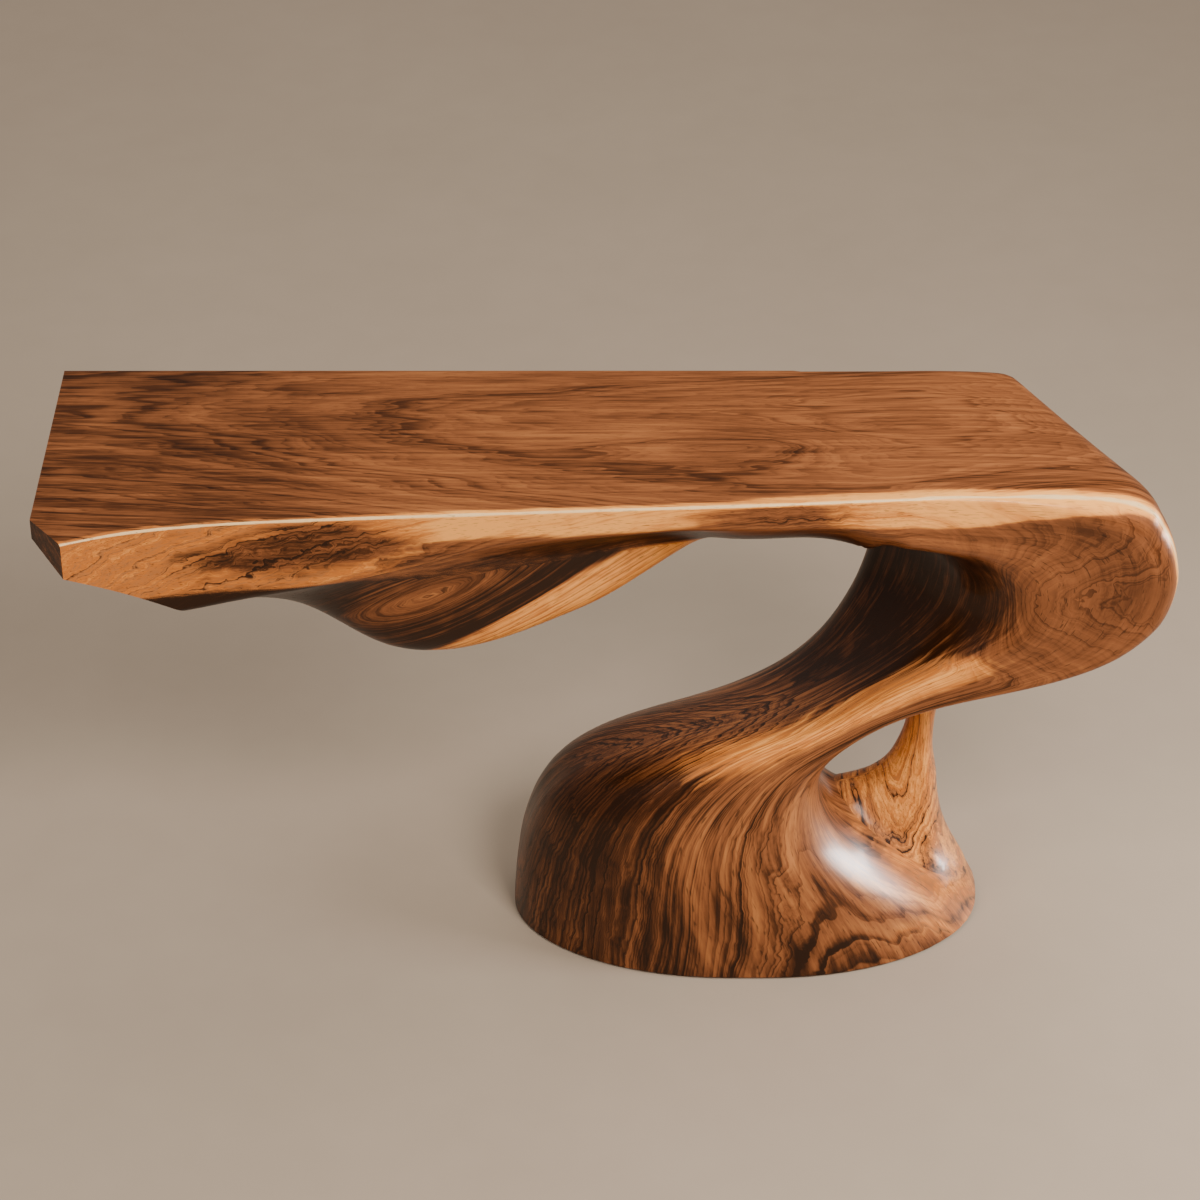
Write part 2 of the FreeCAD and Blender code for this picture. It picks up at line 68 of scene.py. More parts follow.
CHIN_INSET = 190.0
CHIN_DROP = 132.0
CORNER_CUT_LENGTH = 45.0
CORNER_CUT_DEPTH = 56.0
TOP_DEPTH_CORNER = 420.0
ARM_JOINT_DROP = 281.0
ARM_JOINT_SLOPE = math.radians(37)
PAD_PROUD = 3.0
PLUG_PROUD = 0.3
PAD_RADIUS = 20.0
CLEAR_OF_JOINT = 1.0

# The frame's own levels and places
slab_low, slab_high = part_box("top_slab")
TOP_HEIGHT = slab_high.z / MM
JOINT_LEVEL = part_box("keel_block")[1].z / MM
FOOT_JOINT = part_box("foot_block")[1].z / MM
FREE_END = slab_low.x / MM
tenon_low, tenon_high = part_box("scroll_tenon_back")
BACK_EDGE = (tenon_low.y + tenon_high.y) / 2 / MM + TENON_SHARE * TOP_DEPTH_ROOT
UNDERSIDE = JOINT_LEVEL + CLEAR_OF_JOINT
ROOT_FRONT = SCROLL_AXIS - ROOT_FRONT_INSET
ROOT_BACK = SCROLL_AXIS - ROOT_BACK_INSET
THICKNESS = TOP_HEIGHT - UNDERSIDE

# Natural front edge of the top: distance from the free end, depth
LIVE_EDGE = [
    (CORNER_CUT_LENGTH, TOP_DEPTH_CORNER),
    (110.0, 397.0),
    (189.0, 380.5),
    (265.0, 371.0),
    (342.0, 364.5),
    (460.0, 357.0),
    (594.0, 349.0),
    (740.0, 340.5),
    (899.0, 331.5),
    (1010.0, 324.0),
    (ROOT_FRONT, TOP_DEPTH_ROOT),
]

# Lower edge of the live face: distance from the free end, drop from the top, and the run and drop
# of the shoulder behind it
FACE_FOOT = [
    (60.0, 128.0, 22.0, 132.0),
    (189.0, 132.0, 20.0, 136.0),
    (261.0, 119.0, 15.0, 127.0),
    (337.0, 106.0, 14.0, 118.0),
    (440.0, 81.0, 17.0, 109.0),
    (568.0, 52.0, 28.0, 103.0),
    (721.0, 42.0, 58.0, 100.0),
    (849.0, 36.0, 76.0, 100.0),
    (977.0, 38.0, 80.0, 99.0),
    (1054.0, 48.0, 60.0, 99.0),
    (1090.0, 70.0, 30.0, 99.0),
    (ROOT_FRONT, 97.0, 6.0, 99.0),
]

# Keel: distance from the free end, depth and drop of its ridge under the joint, depth of its back
KEEL = [
    (60.0, 300.0, 46.0, 60.0),
    (186.0, 295.0, 54.0, 60.0),
    (261.0, 290.0, 62.0, 62.0),
    (336.0, 288.0, 82.0, 66.0),
    (431.0, 286.0, 144.0, 76.0),
    (496.0, 285.0, 158.0, 84.0),
    (590.0, 275.0, 146.0, 92.0),
    (668.0, 262.0, 120.0, 98.0),
    (721.0, 252.0, 99.0, 102.0),
    (787.0, 240.0, 60.0, 108.0),
    (852.0, 228.0, 24.0, 116.0),
    (900.0, 218.0, 6.0, 124.0),
    (940.0, 210.0, 0.0, 126.0),
    (ROOT_FRONT, 190.0, 0.0, 126.0),
]

# Ribbon of scroll, arm and foot: its share of the scroll's place against the foot's, and its corners
# from that place: outer front, inner front, inner back and outer back
RIBBON = [
    (1.00, (-35, 0, 8), (-35, 0, -98), (-165, 0, -98), (-165, 0, 8)),
    (1.00, (84, 12, -6), (20, 8, -114), (-115, -5, -110), (5, 5, 8)),
    (1.00, (272, 20, -26), (59, 16, -140), (-85, -10, -138), (101, 5, 8)),
    (1.00, (344, 24, -71), (78, 19, -170), (-73, -12, -170), (145, 0, -62)),
    (1.00, (353, 26, -150), (81, 21, -195), (-70, -15, -200), (150, -5, -140)),
    (1.00, (327, 26, -222), (75, 22, -225), (-75, -20, -240), (130, -10, -225)),
    (1.00, (269, 26, -280), (57, 24, -248), (-88, -28, -290), (85, -20, -295)),
    (1.00, (180, 26, -320), (20, 25, -278), (-110, -38, -340), (25, -30, -350)),
    (0.75, (133, 40, -158), (28, 38, -120), (-87, -50, -205), (13, -42, -205)),
    (0.50, (96, 47, 6), (11, 43, 28), (-89, -65, -62), (11, -50, -60)),
    (0.25, (83, 50, 150), (-22, 38, 188), (-112, -80, 102), (28, -52, 70)),
    (0.00, (102, 46, 270), (-84, 35, 350), (-149, -80, 268), (86, -45, 190)),
    (0.00, (141, 22, 180), (-214, 18, 290), (-249, -60, 225), (136, -25, 120)),
    (0.00, (256, 4, 80), (-301, 8, 150), (-314, -20, 120), (246, -5, 60)),
]
FOOT_HALF_LENGTH = 325.0

# Softness of the ribbon's corners, as shares of its wide and thin sides, of both sides at its outer
# front shoulder where that is softer, and of both sides at its inner front corner. Below the scroll all
# are alike
LEG_SOFTNESS = [0.26, 0.30, 0.34, 0.40, 0.45, 0.46]
WIDE_SOFTNESS = [0.016, 0.03, 0.06, 0.09, 0.12, 0.14, 0.16, 0.19, 0.22, *LEG_SOFTNESS]
THIN_SOFTNESS = [0.05, 0.08, 0.09, 0.10, 0.12, 0.14, 0.16, 0.19, 0.22, *LEG_SOFTNESS]
SHOULDER = [0.016, 0.06, 0.26, 0.34, 0.22, 0.17, 0.17, 0.19, 0.22, *LEG_SOFTNESS]
FOLD_SOFTNESS = [0.20, 0.20, 0.22, 0.26, 0.30, 0.30, 0.28, 0.25, 0.25, *LEG_SOFTNESS]
FOLD_RISE = [0.33, 0.30, 0.28, 0.28, 0.30, 0.30, 0.28, 0.25, 0.25, *LEG_SOFTNESS]
EDGE_RADIUS = 5.0
FACE_FOOT_RADIUS = 9.0
FOLD_START = 1020.0
ROLL_EASE = 3.0
UNFOLDED_REACH = (700.0, 450.0)
BACK_RADIUS = 2.5

# Figure in the wood: the pith under the top, the ring about which the foot's rings crowd, the eye of the
# scroll's swirl, the flame in the keel's belly, and the line where the belly's sapwood starts
PITH_ACROSS = 165.0
PITH_DEEP = 240.0
FOOT_RING = 245.0
SWIRL_PLACE = (1333.0, 585.0)
FLAME_PLACE = (497.0, 614.0)
FLAME_SLOPE = math.radians(24)
FLAME_STRETCH = 3.8
FLAME_WIDTH = 17.0
BELLY_SAP_START = 497.0
BELLY_SAP_LOW = 508.0
BELLY_SAP_RISE = 0.57

# Knots of the live face: strength, place along the run and its spread, drop from the top and its spread
KNOTS = [
    (1.0, 285.0, 85.0, 56.0, 26.0),
    (1.0, 365.0, 60.0, 22.0, 20.0),
    (0.8, 425.0, 75.0, 50.0, 24.0),
    (0.35, 240.0, 90.0, 106.0, 16.0),
]

# Stretches of the wood's run, by distance from the free end: where each starts, is full, starts to fade
# and ends
MIDDLE_FACE = (430, 560, 740, 930)
ROUGH_PATCH = (740, 930, 980, 1110)
ROLLED_SAP = (980, 1110, 1380, 1500)
ROLLED_TOP = (1080, 1400, 1450, 1600)
HOLLOW_LIP = (420, 560, 1040, 1100)
SCROLL_FACE = (1120, 1220, 1540, 1640)
SWIRL = (1150, 1230, 1560, 1640)
THROAT = (1010, 1150, 1600, 1760)
ARM_TOP = (1560, 1700, 1850, 1960)
ARM_RIDGE = (1520, 1640, 1880, 2000)

# What each region of the wood adds to its sapwood, tone, burl and stripes
SAP_SHARES = {
    "edge_band": 1.0, "clear_left_face": 0.66, "clear_middle_face": 0.8, "rough_patch": 0.22,
    "rolled_sap": 1.0, "arm_ridge": 0.85, "foot_edge": 0.35, "belly_sap": 0.72, "branch_root": 0.7,
}
# Some tones are painted light: painted shade in the throat, in the hollow under the lip, towards the top's
# free end, and partly on the keel's belly and the foot's left flank; a painted highlight, with pale
# sapwood, on the middle of the live face
TONE_SHARES = {
    "middle_face": 0.42, "rolled_sap": 0.36, "rolled_band": 0.35, "arm_ridge": 0.3, "flame": 0.42,
    "belly_sap": 0.3, "knots": -0.2, "free_end": -0.12, "dark_keel": -0.3, "sap_shadow": -0.2,
    "keel_chin": -0.2, "throat_shade": -0.42, "arm_top": -0.06, "foot_left": -0.32, "lip_hollow_shade": -0.32,
    "foot_face": -0.1,
}
BURL_SHARES = {
    "knots": 0.4, "left_face": 0.231, "rough_burl": 0.5, "scroll_burl": 0.4, "foot_burl": 0.22,
    "foot_left": 0.3,
}
PLAIN_STRIPE = 0.82
STRIPE_SHARES = {
    "keel": 0.2, "leg": 0.5, "scroll_face": -0.36, "foot_left": -0.62, "foot_outer": -0.35,
}

# Branch sections, as reach to the left, reach to the right and half depth: its root by height, its
# head by drop from the arm
BRANCH_ARM_LEVEL = 387.2
BRANCH_ROOT = [
    (3.0, 124.0, 50.0, 66.0),
    (60.0, 126.0, 47.0, 64.0),
    (114.0, 127.0, 38.0, 58.0),
    (150.0, 125.0, 30.0, 52.0),
    (180.0, 102.0, 25.0, 46.0),
    (210.0, 62.0, 22.0, 38.0),
    (245.0, 38.0, 16.0, 31.0),
    (290.0, 24.0, 15.0, 26.0),
]
BRANCH_HEAD = [
    (62.0, 21.0, 19.0, 26.0),
    (30.0, 24.0, 31.0, 33.0),
    (6.0, 30.0, 42.0, 40.0),
    (-18.0, 36.0, 50.0, 46.0),
    (-60.0, -16.0, 50.0, 16.0),
]

# How the branch and the ribbon flow together: where along the ribbon it starts, how far it reaches
LEG_START = 420.0
BLEND_REACH = 72.0
BLEND_SWELL = 0.36
MEETING_WIDTH = 26.0

# How finely the sections are drawn
SLAB_ROW = 8.0
RIBBON_ROW = 6.0
SKEW_START = 760.0
FIRST_ROW = -40.0
TOP_COLUMNS = 44
FACE_COLUMNS = 26
UNDER_COLUMNS = 64
BACK_COLUMNS = 10
BEND_COLUMNS = 15
UNDER_STEPS = 161
BRANCH_COLUMNS = 96
BRANCH_ROW = 4.0
CIRCLE_PULL = 0.5523

# The photograph's viewpoint
CAMERA_PLACE = (721.0, -4149.0, 3287.0)
CAMERA_TILT = math.radians(55)


def to_frame(points):
    """Modelling millimetres to the frame's metres."""
    return (np.asarray(points) + [FREE_END, BACK_EDGE, 0.0]) * MM


def flowing(rows, at):
    """Smooth values through the rows of a table, by its first column: a natural cubic spline."""
    rows = np.asarray(rows, float)
    places, values = rows[:, 0], rows[:, 1:]
    gaps = np.diff(places)
    count = len(places)
    system = np.eye(count)
    bends = np.zeros_like(values)
    for i in range(1, count - 1):
        system[i, i - 1:i + 2] = gaps[i - 1], 2 * (gaps[i - 1] + gaps[i]), gaps[i]
        bends[i] = 6 * ((values[i + 1] - values[i]) / gaps[i] - (values[i] - values[i - 1]) / gaps[i - 1])
    bends = np.linalg.solve(system, bends)
    at = np.asarray(at, float)
    low = np.clip(np.searchsorted(places, at) - 1, 0, count - 2)
    gap = gaps[low][:, None]
    past = (at - places[low])[:, None]
    left = gap - past
    cubic = (bends[low] * left ** 3 + bends[low + 1] * past ** 3) / (6 * gap)
    start = (values[low] / gap - bends[low] * gap / 6) * left
    end = (values[low + 1] / gap - bends[low + 1] * gap / 6) * past
    return cubic + start + end


def evenly(path, count):
    """Points spaced evenly along each row's polyline."""
    spaced = []
    for row in path:
        steps = np.linalg.norm(np.diff(row[:, :3], axis=0), axis=1)
        travel = np.concatenate([[0.0], np.cumsum(steps)])
        at = np.linspace(0, travel[-1], count)
        spaced.append(np.stack([np.interp(at, travel, column) for column in row.T], axis=1))
    return np.array(spaced)


def along(start, end, first, last, count):
    """Points on straight lines from start to end, between two shares of their lengths."""
    share = first[:, None] + (last - first)[:, None] * np.linspace(0, 1, count)
    return start[:, None] + (end - start)[:, None] * share[..., None]


def along_under(under, first, last, count):
    """Points on the evenly spaced underside, between two shares of its length."""
    share = first[:, None] + (last - first)[:, None] * np.linspace(0, 1, count)
    place = share * (under.shape[1] - 1)
    low = np.clip(place.astype(int), 0, under.shape[1] - 2)
    row = np.arange(len(under))[:, None]
    part_way = (place - low)[..., None]
    return under[row, low] * (1 - part_way) + under[row, low + 1] * part_way


def bend(start, corner, end):
    """Points of the soft corner between the end of one side and the start of the next."""
    t = (np.arange(1, BEND_COLUMNS + 1) / (BEND_COLUMNS + 1))[None, :, None]
    start, corner, end = start[:, None], corner[:, None], end[:, None]
    leaving = start + (corner - start) * CIRCLE_PULL
    arriving = end + (corner - end) * CIRCLE_PULL
    weights = (1 - t) ** 3, 3 * t * (1 - t) ** 2, 3 * t ** 2 * (1 - t), t ** 3
    return weights[0] * start + weights[1] * leaving + weights[2] * arriving + weights[3] * end


def over_corner(start, corner, end):
    """As many points, straight to the corner and on: so the wood's coordinates run over a bend."""
    t = (np.arange(1, BEND_COLUMNS + 1) / (BEND_COLUMNS + 1))[None, :, None]
    start, corner, end = start[:, None], corner[:, None], end[:, None]
    return np.where(t < 0.5, start + (corner - start) * 2 * t, corner + (end - corner) * (2 * t - 1))


def sections(corners, under, wide, thin, unfolded):
    """Loops round each row: top, live face, underside and back, with softened corners. Where a row is
    unfolded, the wood's coordinates run straight over the outer front corner."""
    outer_back, outer_front, inner_front, inner_back = corners
    top = along(outer_back, outer_front, wide[0], 1 - wide[1], TOP_COLUMNS)
    face = along(outer_front, inner_front, thin[1], 1 - thin[2], FACE_COLUMNS)
    under = along_under(under, wide[2], 1 - wide[3], UNDER_COLUMNS)
    back = along(inner_back, outer_back, thin[3], 1 - thin[0], BACK_COLUMNS)
    shoulder = bend(top[:, -1], outer_front, face[:, 0])
    straight = over_corner(top[:, -1], outer_front, face[:, 0])
    shoulder[..., 3:] += (straight - shoulder)[..., 3:] * unfolded[:, None, None]
    return np.concatenate([
        top, shoulder,
        face, bend(face[:, -1], inner_front, under[:, 0]),
        under, bend(under[:, -1], inner_back, back[:, 0]),
        back, bend(back[:, -1], outer_back, top[:, 0]),
    ], axis=1)


def skewed_back(front):
    """Where the back of a row stands when its front does: square along the top, skewed near the scroll."""
    share = np.clip((front - SKEW_START) / (ROOT_FRONT - SKEW_START), 0, 1)
    reach = ROOT_BACK - SKEW_START
    leave = (ROOT_FRONT - SKEW_START) / reach
    arrive = leave * 1.4
    eased = share * leave + share ** 2 * (3 - 2 * leave - arrive) + share ** 3 * (leave + arrive - 2)
    return np.where(front < SKEW_START, front, SKEW_START + reach * eased)


def slab_sections():
    """Rows of the top and keel. Each point is X, Y, Z, distance from the back and depth in the wood."""
    count = int((ROOT_FRONT - FIRST_ROW) / SLAB_ROW)
    front = np.linspace(FIRST_ROW, ROOT_FRONT, count, endpoint=False)
    back = skewed_back(front)
    depth = flowing(LIVE_EDGE, front)[:, 0]
    face_drop, shoulder_run, shoulder_drop = flowing(FACE_FOOT, front).T
    ridge, ridge_drop, keel_back = flowing(KEEL, front).T
    ridge_drop = np.maximum(ridge_drop, -CLEAR_OF_JOINT)

    def at(distance, drop):
        x = back + (front - back) * distance / depth
        return np.stack([x, -distance, TOP_HEIGHT - drop, distance, drop], axis=1)

    zero = np.zeros_like(front)
    keel_top = TOP_HEIGHT - JOINT_LEVEL
    path = [
        at(depth, face_drop),
        at(depth - shoulder_run, shoulder_drop),
        at(ridge, keel_top + ridge_drop),
        at(ridge * 0.55 + keel_back * 0.45, keel_top + ridge_drop * 0.62),
        at(keel_back, zero + THICKNESS),
    ]
    shaped = []
    for row in np.stack(path, axis=1):
        travel = np.concatenate([[0.0], np.cumsum(np.linalg.norm(np.diff(row[:, :3], axis=0), axis=1))])
        table = np.concatenate([travel[:, None], row], axis=1)
        shaped.append(flowing(table, np.linspace(0, travel[-1], UNDER_STEPS)))
    shaped = np.array(shaped)
    shaped[:, :, 2] = np.where(
        ridge_drop[:, None] <= 0, np.maximum(shaped[:, :, 2], UNDERSIDE), shaped[:, :, 2]
    )
    inner_back = at(zero, zero + THICKNESS)
    under = evenly(np.concatenate([shaped, inner_back[:, None]], axis=1), UNDER_STEPS)
    corners = [at(zero, zero), at(depth, zero), at(depth, face_drop), inner_back]
    length = np.linalg.norm(np.diff(under[:, :, :3], axis=1), axis=2).sum(axis=1)
    fold = rising(front, FOLD_START, ROOT_FRONT)
    fold_run = FACE_FOOT_RADIUS + (FOLD_SOFTNESS[0] * TOP_DEPTH_ROOT - FACE_FOOT_RADIUS) * fold
    fold_rise = FACE_FOOT_RADIUS / face_drop * (1 - fold) + FOLD_RISE[0] * fold
    back_wide, back_thin = zero + BACK_RADIUS / TOP_DEPTH_ROOT, zero + BACK_RADIUS / THICKNESS
    wide = [back_wide, EDGE_RADIUS / depth, fold_run / length, back_wide]
    thin = [back_thin, EDGE_RADIUS / face_drop, fold_rise, back_thin]
    loops = sections(corners, under, wide, thin, np.ones_like(front))
    return loops, loops[..., 0]


def ribbon_stations():
    """Corners of the scroll, arm and foot, down to the oval on the floor."""
    stations = []
    for share, *corners in RIBBON:
        centre = share * SCROLL_AXIS + (1 - share) * FOOT_AXIS
        front = -(share * TOP_DEPTH_ROOT + (1 - share) * FOOT_FRONT)
        back = (1 - share) * FOOT_BACK
        level = share * TOP_HEIGHT
        sides = front, front, back, back
        stations.append([(centre + x, side + y, level + z) for (x, y, z), side in zip(corners, sides)])
    half = FOOT_HALF_LENGTH
    oval = [(half, -FOOT_FRONT), (-half, -FOOT_FRONT), (-half, FOOT_BACK), (half, FOOT_BACK)]
    stations.append([(FOOT_AXIS + x, y, PAD_PROUD) for x, y in oval])
    return np.array(stations)


def ribbon_sections():
    """Rows of the scroll, arm and foot, in the same form as the top's."""
    stations = ribbon_stations()
    centres = stations.mean(axis=1)
    travel = np.concatenate([[0.0], np.cumsum(np.linalg.norm(np.diff(centres, axis=0), axis=1))])
    at = np.linspace(0, travel[-1], int(travel[-1] / RIBBON_ROW))
    table = np.concatenate([travel[:, None], stations.reshape(len(stations), 12)], axis=1)
    places = flowing(table, at).reshape(len(at), 4, 3)
    drop = (TOP_HEIGHT - places[:, [0, 3], 2]) / ROLL_EASE
    places[:, [0, 3], 2] = TOP_HEIGHT - ROLL_EASE * np.logaddexp(0, drop)
    wood = [(TOP_DEPTH_ROOT, 0), (TOP_DEPTH_ROOT, THICKNESS), (0, THICKNESS), (0, 0)]
    corners = [np.concatenate([places[:, i], np.tile(wood[i], (len(at), 1))], axis=1) for i in range(4)]
    outer_front, inner_front, inner_back, outer_back = corners
    softness = WIDE_SOFTNESS, THIN_SOFTNESS, SHOULDER, FOLD_SOFTNESS, FOLD_RISE
    wide, thin, shoulder, fold, fold_rise = [np.interp(at, travel, row) for row in softness]
    front_wide, front_thin = np.maximum(wide, shoulder), np.maximum(thin, shoulder)
    share = np.linspace(0, 1, UNDER_STEPS)[None, :, None]
    under = inner_front[:, None] * (1 - share) + inner_back[:, None] * share
    loops = sections(
        [outer_back, outer_front, inner_front, inner_back], under,
        [wide, front_wide, fold, wide], [thin, front_thin, fold_rise, thin], rising(at, *UNFOLDED_REACH),
    )
    loops[..., 2] = np.minimum(loops[..., 2], TOP_HEIGHT)
    root = ROOT_BACK + (ROOT_FRONT - ROOT_BACK) * loops[..., 3] / TOP_DEPTH_ROOT
    return loops, root + at[:, None]


def soft_normals(points):
    """Outward normals of a grid of points whose columns close into loops."""
    across = np.roll(points, -1, axis=1) - np.roll(points, 1, axis=1)
    onward = np.gradient(points, axis=0)
    normals = np.cross(across, onward)
    return normals / np.maximum(np.linalg.norm(normals, axis=2, keepdims=True), 1e-9)


def near(value, centre, spread):
    """1 at the centre, fading to 0 over the spread."""
    return np.exp(-((value - centre) / spread) ** 2)


def rising(value, low, high):
    """0 below low and 1 above high, smooth between; falling where low is the higher."""
    share = np.clip((value - low) / (high - low), 0, 1)
    return share * share * (3 - 2 * share)


def stretch(value, span):
    """1 on a stretch, fading to 0 towards both its ends."""
    start, full, fading, end = span
    return rising(value, start, full) * rising(value, end, fading)


def belly_figure(points):
    """Places along the flame in the keel's belly, and long ovals round it, in millimetres."""
    x, _, z = np.moveaxis(points, 2, 0)
    run, rise = x - FLAME_PLACE[0], z - FLAME_PLACE[1]
    along_flame = run * math.cos(FLAME_SLOPE) + rise * math.sin(FLAME_SLOPE)
    across = rise * math.cos(FLAME_SLOPE) - run * math.sin(FLAME_SLOPE)
    return along_flame, np.hypot(along_flame / FLAME_STRETCH, across)


def ring_field(points, a, b, c):
    """Distance to a wandering pith under the top, in millimetres: the growth rings."""
    x, _, z = np.moveaxis(points, 2, 0)
    pith_across = PITH_ACROSS + 30 * np.sin(a / 330 + 0.6) - 105 * rising(a, 1000, 120)
    pith_deep = PITH_DEEP + 46 * np.sin(a / 460 + 2.0)
    ring = np.hypot(b - pith_across, pith_deep - c)
    ring += 46 * near(a, 905, 175) * near(b, 195, 52) * near(c, 0, 60)
    ring += 60 * stretch(a, ROLLED_TOP) * near(c, 0, 40)
    swirl_x, swirl_z = x - SWIRL_PLACE[0], z - SWIRL_PLACE[1]
    swirl = np.hypot((swirl_x + 0.35 * swirl_z) / 1.45, swirl_z - 0.2 * swirl_x)
    on_scroll = stretch(a, SWIRL) * rising(b, 240, 310)
    ring += 120 * on_scroll * near(swirl, 0, 112)
    return FOOT_RING + (ring - FOOT_RING) * (1 + 1.7 * rising(a, 1700, 2050))


def sap_and_highlight_line(a):
    """The pale line along the front edge of the top, pale sapwood with a painted highlight on the rounded
    arris: finer where the edge rolls over the scroll.
    """
    edge = np.zeros_like(a)
    bend_at = slice(TOP_COLUMNS - 1, TOP_COLUMNS + BEND_COLUMNS + 1)
    crest = np.sin(np.linspace(0.12, 0.88, BEND_COLUMNS + 2) * math.pi)
    sharpness = 3 + 120 * rising(a[:, TOP_COLUMNS - 1:TOP_COLUMNS], 1130, 1360)
    edge[:, bend_at] = crest ** sharpness
    return edge * rising(a, 1620, 1380)


def wood_regions(points, a, b, c):
    """Where each region of the wood lies, as a share from 0 to 1 at each point."""
    x, y, z = np.moveaxis(points, 2, 0)
    edge_at = np.clip(a, 0, ROOT_FRONT).ravel()
    depth = np.where(a < ROOT_FRONT, flowing(LIVE_EDGE, edge_at)[:, 0].reshape(a.shape), TOP_DEPTH_ROOT)
    on_top = rising(c, 6, 1)
    on_face = rising(b, depth - 14, depth - 4)
    on_under = rising(c, 80, 96)
    knots = np.zeros_like(a)
    for strength, at, length, drop, height in KNOTS:
        knots += strength * near(a, at, length) * near(c, drop, height)
    knots = on_face * np.clip(knots, 0, 1)
    band = 5 + 22 * rising(a, 780, 1020)
    edge_band = on_top * rising(depth - b, band, band * 0.4) * rising(a, 1560, 1400)
    left_face = on_face * rising(a, 560, 430) * rising(c, 135, 95)
    # The middle of the live face: pale sapwood, and its tone lift partly a painted highlight where light
    # falls below the rounded edge
    middle_face = on_face * stretch(a, MIDDLE_FACE) * rising(c, 50, 26)
    sap_deep = 50 - 42 * rising(a, 1180, 1360)
    hollow = rising(b, depth - 6, depth - 30) * rising(c, 30, 50) * rising(c, 104, 99)
    keel = rising(c, 101, 108) * rising(a, 980, 920)
    sap_line = BELLY_SAP_LOW + BELLY_SAP_RISE * (x - BELLY_SAP_START)
    belly_sap = keel * rising(sap_line - z, -8, 10)
    # The keel's belly away from its sapwood is darkened: dark heartwood, and partly painted shade under
    # the top's overhang
    dark_keel = keel * (1 - belly_sap)
    from_branch = np.hypot(x - BRANCH_AXIS, y + BRANCH_SETBACK)
    return {
        "knots": knots,
        # Painted shade: the top is darker towards its free end, where less light gleams on it
        "free_end": on_top * rising(a, 480, 200),
        "edge_band": edge_band,
        "rolled_band": edge_band * rising(a, 780, 1000),
        "left_face": left_face,
        "clear_left_face": left_face * (1 - 0.85 * knots),
        "middle_face": middle_face,
        "clear_middle_face": middle_face * (1 - 0.6 * knots),
        "rough_patch": on_face * stretch(a, ROUGH_PATCH),
        "rough_burl": on_face * near(a, 1000, 90),
        "rolled_sap": on_face * stretch(a, ROLLED_SAP) * rising(c, sap_deep, sap_deep - 12),
        "scroll_face": on_face * stretch(a, SCROLL_FACE),
        "scroll_burl": on_face * near(a, 1400, 150),
        # Painted shade in the hollow under the front lip
        "lip_hollow_shade": hollow * stretch(a, HOLLOW_LIP),
        "keel": keel,
        "flame": keel * near(belly_figure(points)[1], 0, FLAME_WIDTH),
        "belly_sap": belly_sap,
        "dark_keel": dark_keel,
        "sap_shadow": dark_keel * near(z - sap_line, 18, 16),
        "keel_chin": dark_keel * rising(x, 430, 370),
        # Painted shade in the throat under the scroll and arm
        "throat_shade": on_under * stretch(a, THROAT),
        "arm_top": on_under * stretch(a, ARM_TOP),
        "arm_ridge": near(b, TOP_DEPTH_ROOT, 60) * near(c, 84, 32) * stretch(a, ARM_RIDGE),
        "leg": rising(a, 1560, 1800),
        "branch_root": near(from_branch, 0, 125) * rising(a, 1850, 1950) * rising(c, 60, 30),
        # The foot's left flank: dark heartwood with burl, and its darker tone partly painted shade on the
        # side turned from the light
        "foot_left": rising(c, 58, 84) * rising(a, 1850, 1980),
        "foot_edge": near(b, TOP_DEPTH_ROOT, 90) * rising(c, 24, 4) * rising(a, 1880, 1980),
        "foot_face": on_face * rising(a, 1900, 1980),
        "foot_outer": rising(c, 30, 8) * rising(a, 1900, 2000),
        "foot_burl": on_face * rising(a, 1920, 2000) * rising(c, 60, 30),
    }


def wood_fields(points, a, b, c):
    """What the wood looks like at each point: grain, rings, sapwood, tone with painted shade and highlight
    in places, burl, stripes and the painted edge highlight.
    """
    regions = wood_regions(points, a, b, c)

    def total(shares):
        return sum(share * regions[region] for region, share in shares.items())

    keel = regions["keel"]
    y = points[..., 1]
    along_flame, flame_oval = belly_figure(points)
    belly_grain = np.stack([along_flame, flame_oval, y * 0.2], axis=2)
    belly_ring = flame_oval * 1.2 + y * 0.1
    return {
        "grain": np.stack([a, b, c], axis=2) * (1 - keel[..., None]) + belly_grain * keel[..., None],
        "ring": ring_field(points, a, b, c) * (1 - keel) + belly_ring * keel,
        "sap": np.clip(total(SAP_SHARES), 0, 1),
        "tone": total(TONE_SHARES),
        "burl": np.clip(total(BURL_SHARES), 0, 1),
        "stripe": PLAIN_STRIPE + total(STRIPE_SHARES),
        # Painted highlight, with pale sapwood, along the rounded front edge
        "edge": sap_and_highlight_line(a),
    }


def grid_mesh(name, points, normals, fields):
    """A mesh of looped rows, with its wood fields and soft normals as attributes."""
    rows, columns = points.shape[:2]
    index = np.arange(rows * columns).reshape(rows, columns)
    beside = np.roll(index, -1, axis=1)
    faces = np.stack([index[:-1], beside[:-1], beside[1:], index[1:]], axis=2).reshape(-1, 4)
    mesh = bpy.data.meshes.new(name)
    mesh.from_pydata(to_frame(points.reshape(-1, 3)).tolist(), [], faces.tolist())
    for field, values in {**fields, "soft": normals}.items():
        vector = values.ndim == 3
        layer = mesh.attributes.new(field, "FLOAT_VECTOR" if vector else "FLOAT", "POINT")
        layer.data.foreach_set("vector" if vector else "value", values.astype(np.float32).ravel())
    return mesh


def close_rim(bm, rim, outward):
    """Fills open rims with flat faces of the second material."""
    filled = bmesh.ops.holes_fill(bm, edges=rim, sides=0)["faces"]
    for face in filled:
        face.material_index = 1
        face.normal_update()
        if face.normal.dot(Vector(outward)) < 0:
            face.normal_flip()
    bmesh.ops.triangulate(bm, faces=filled, ngon_method="EAR_CLIP")


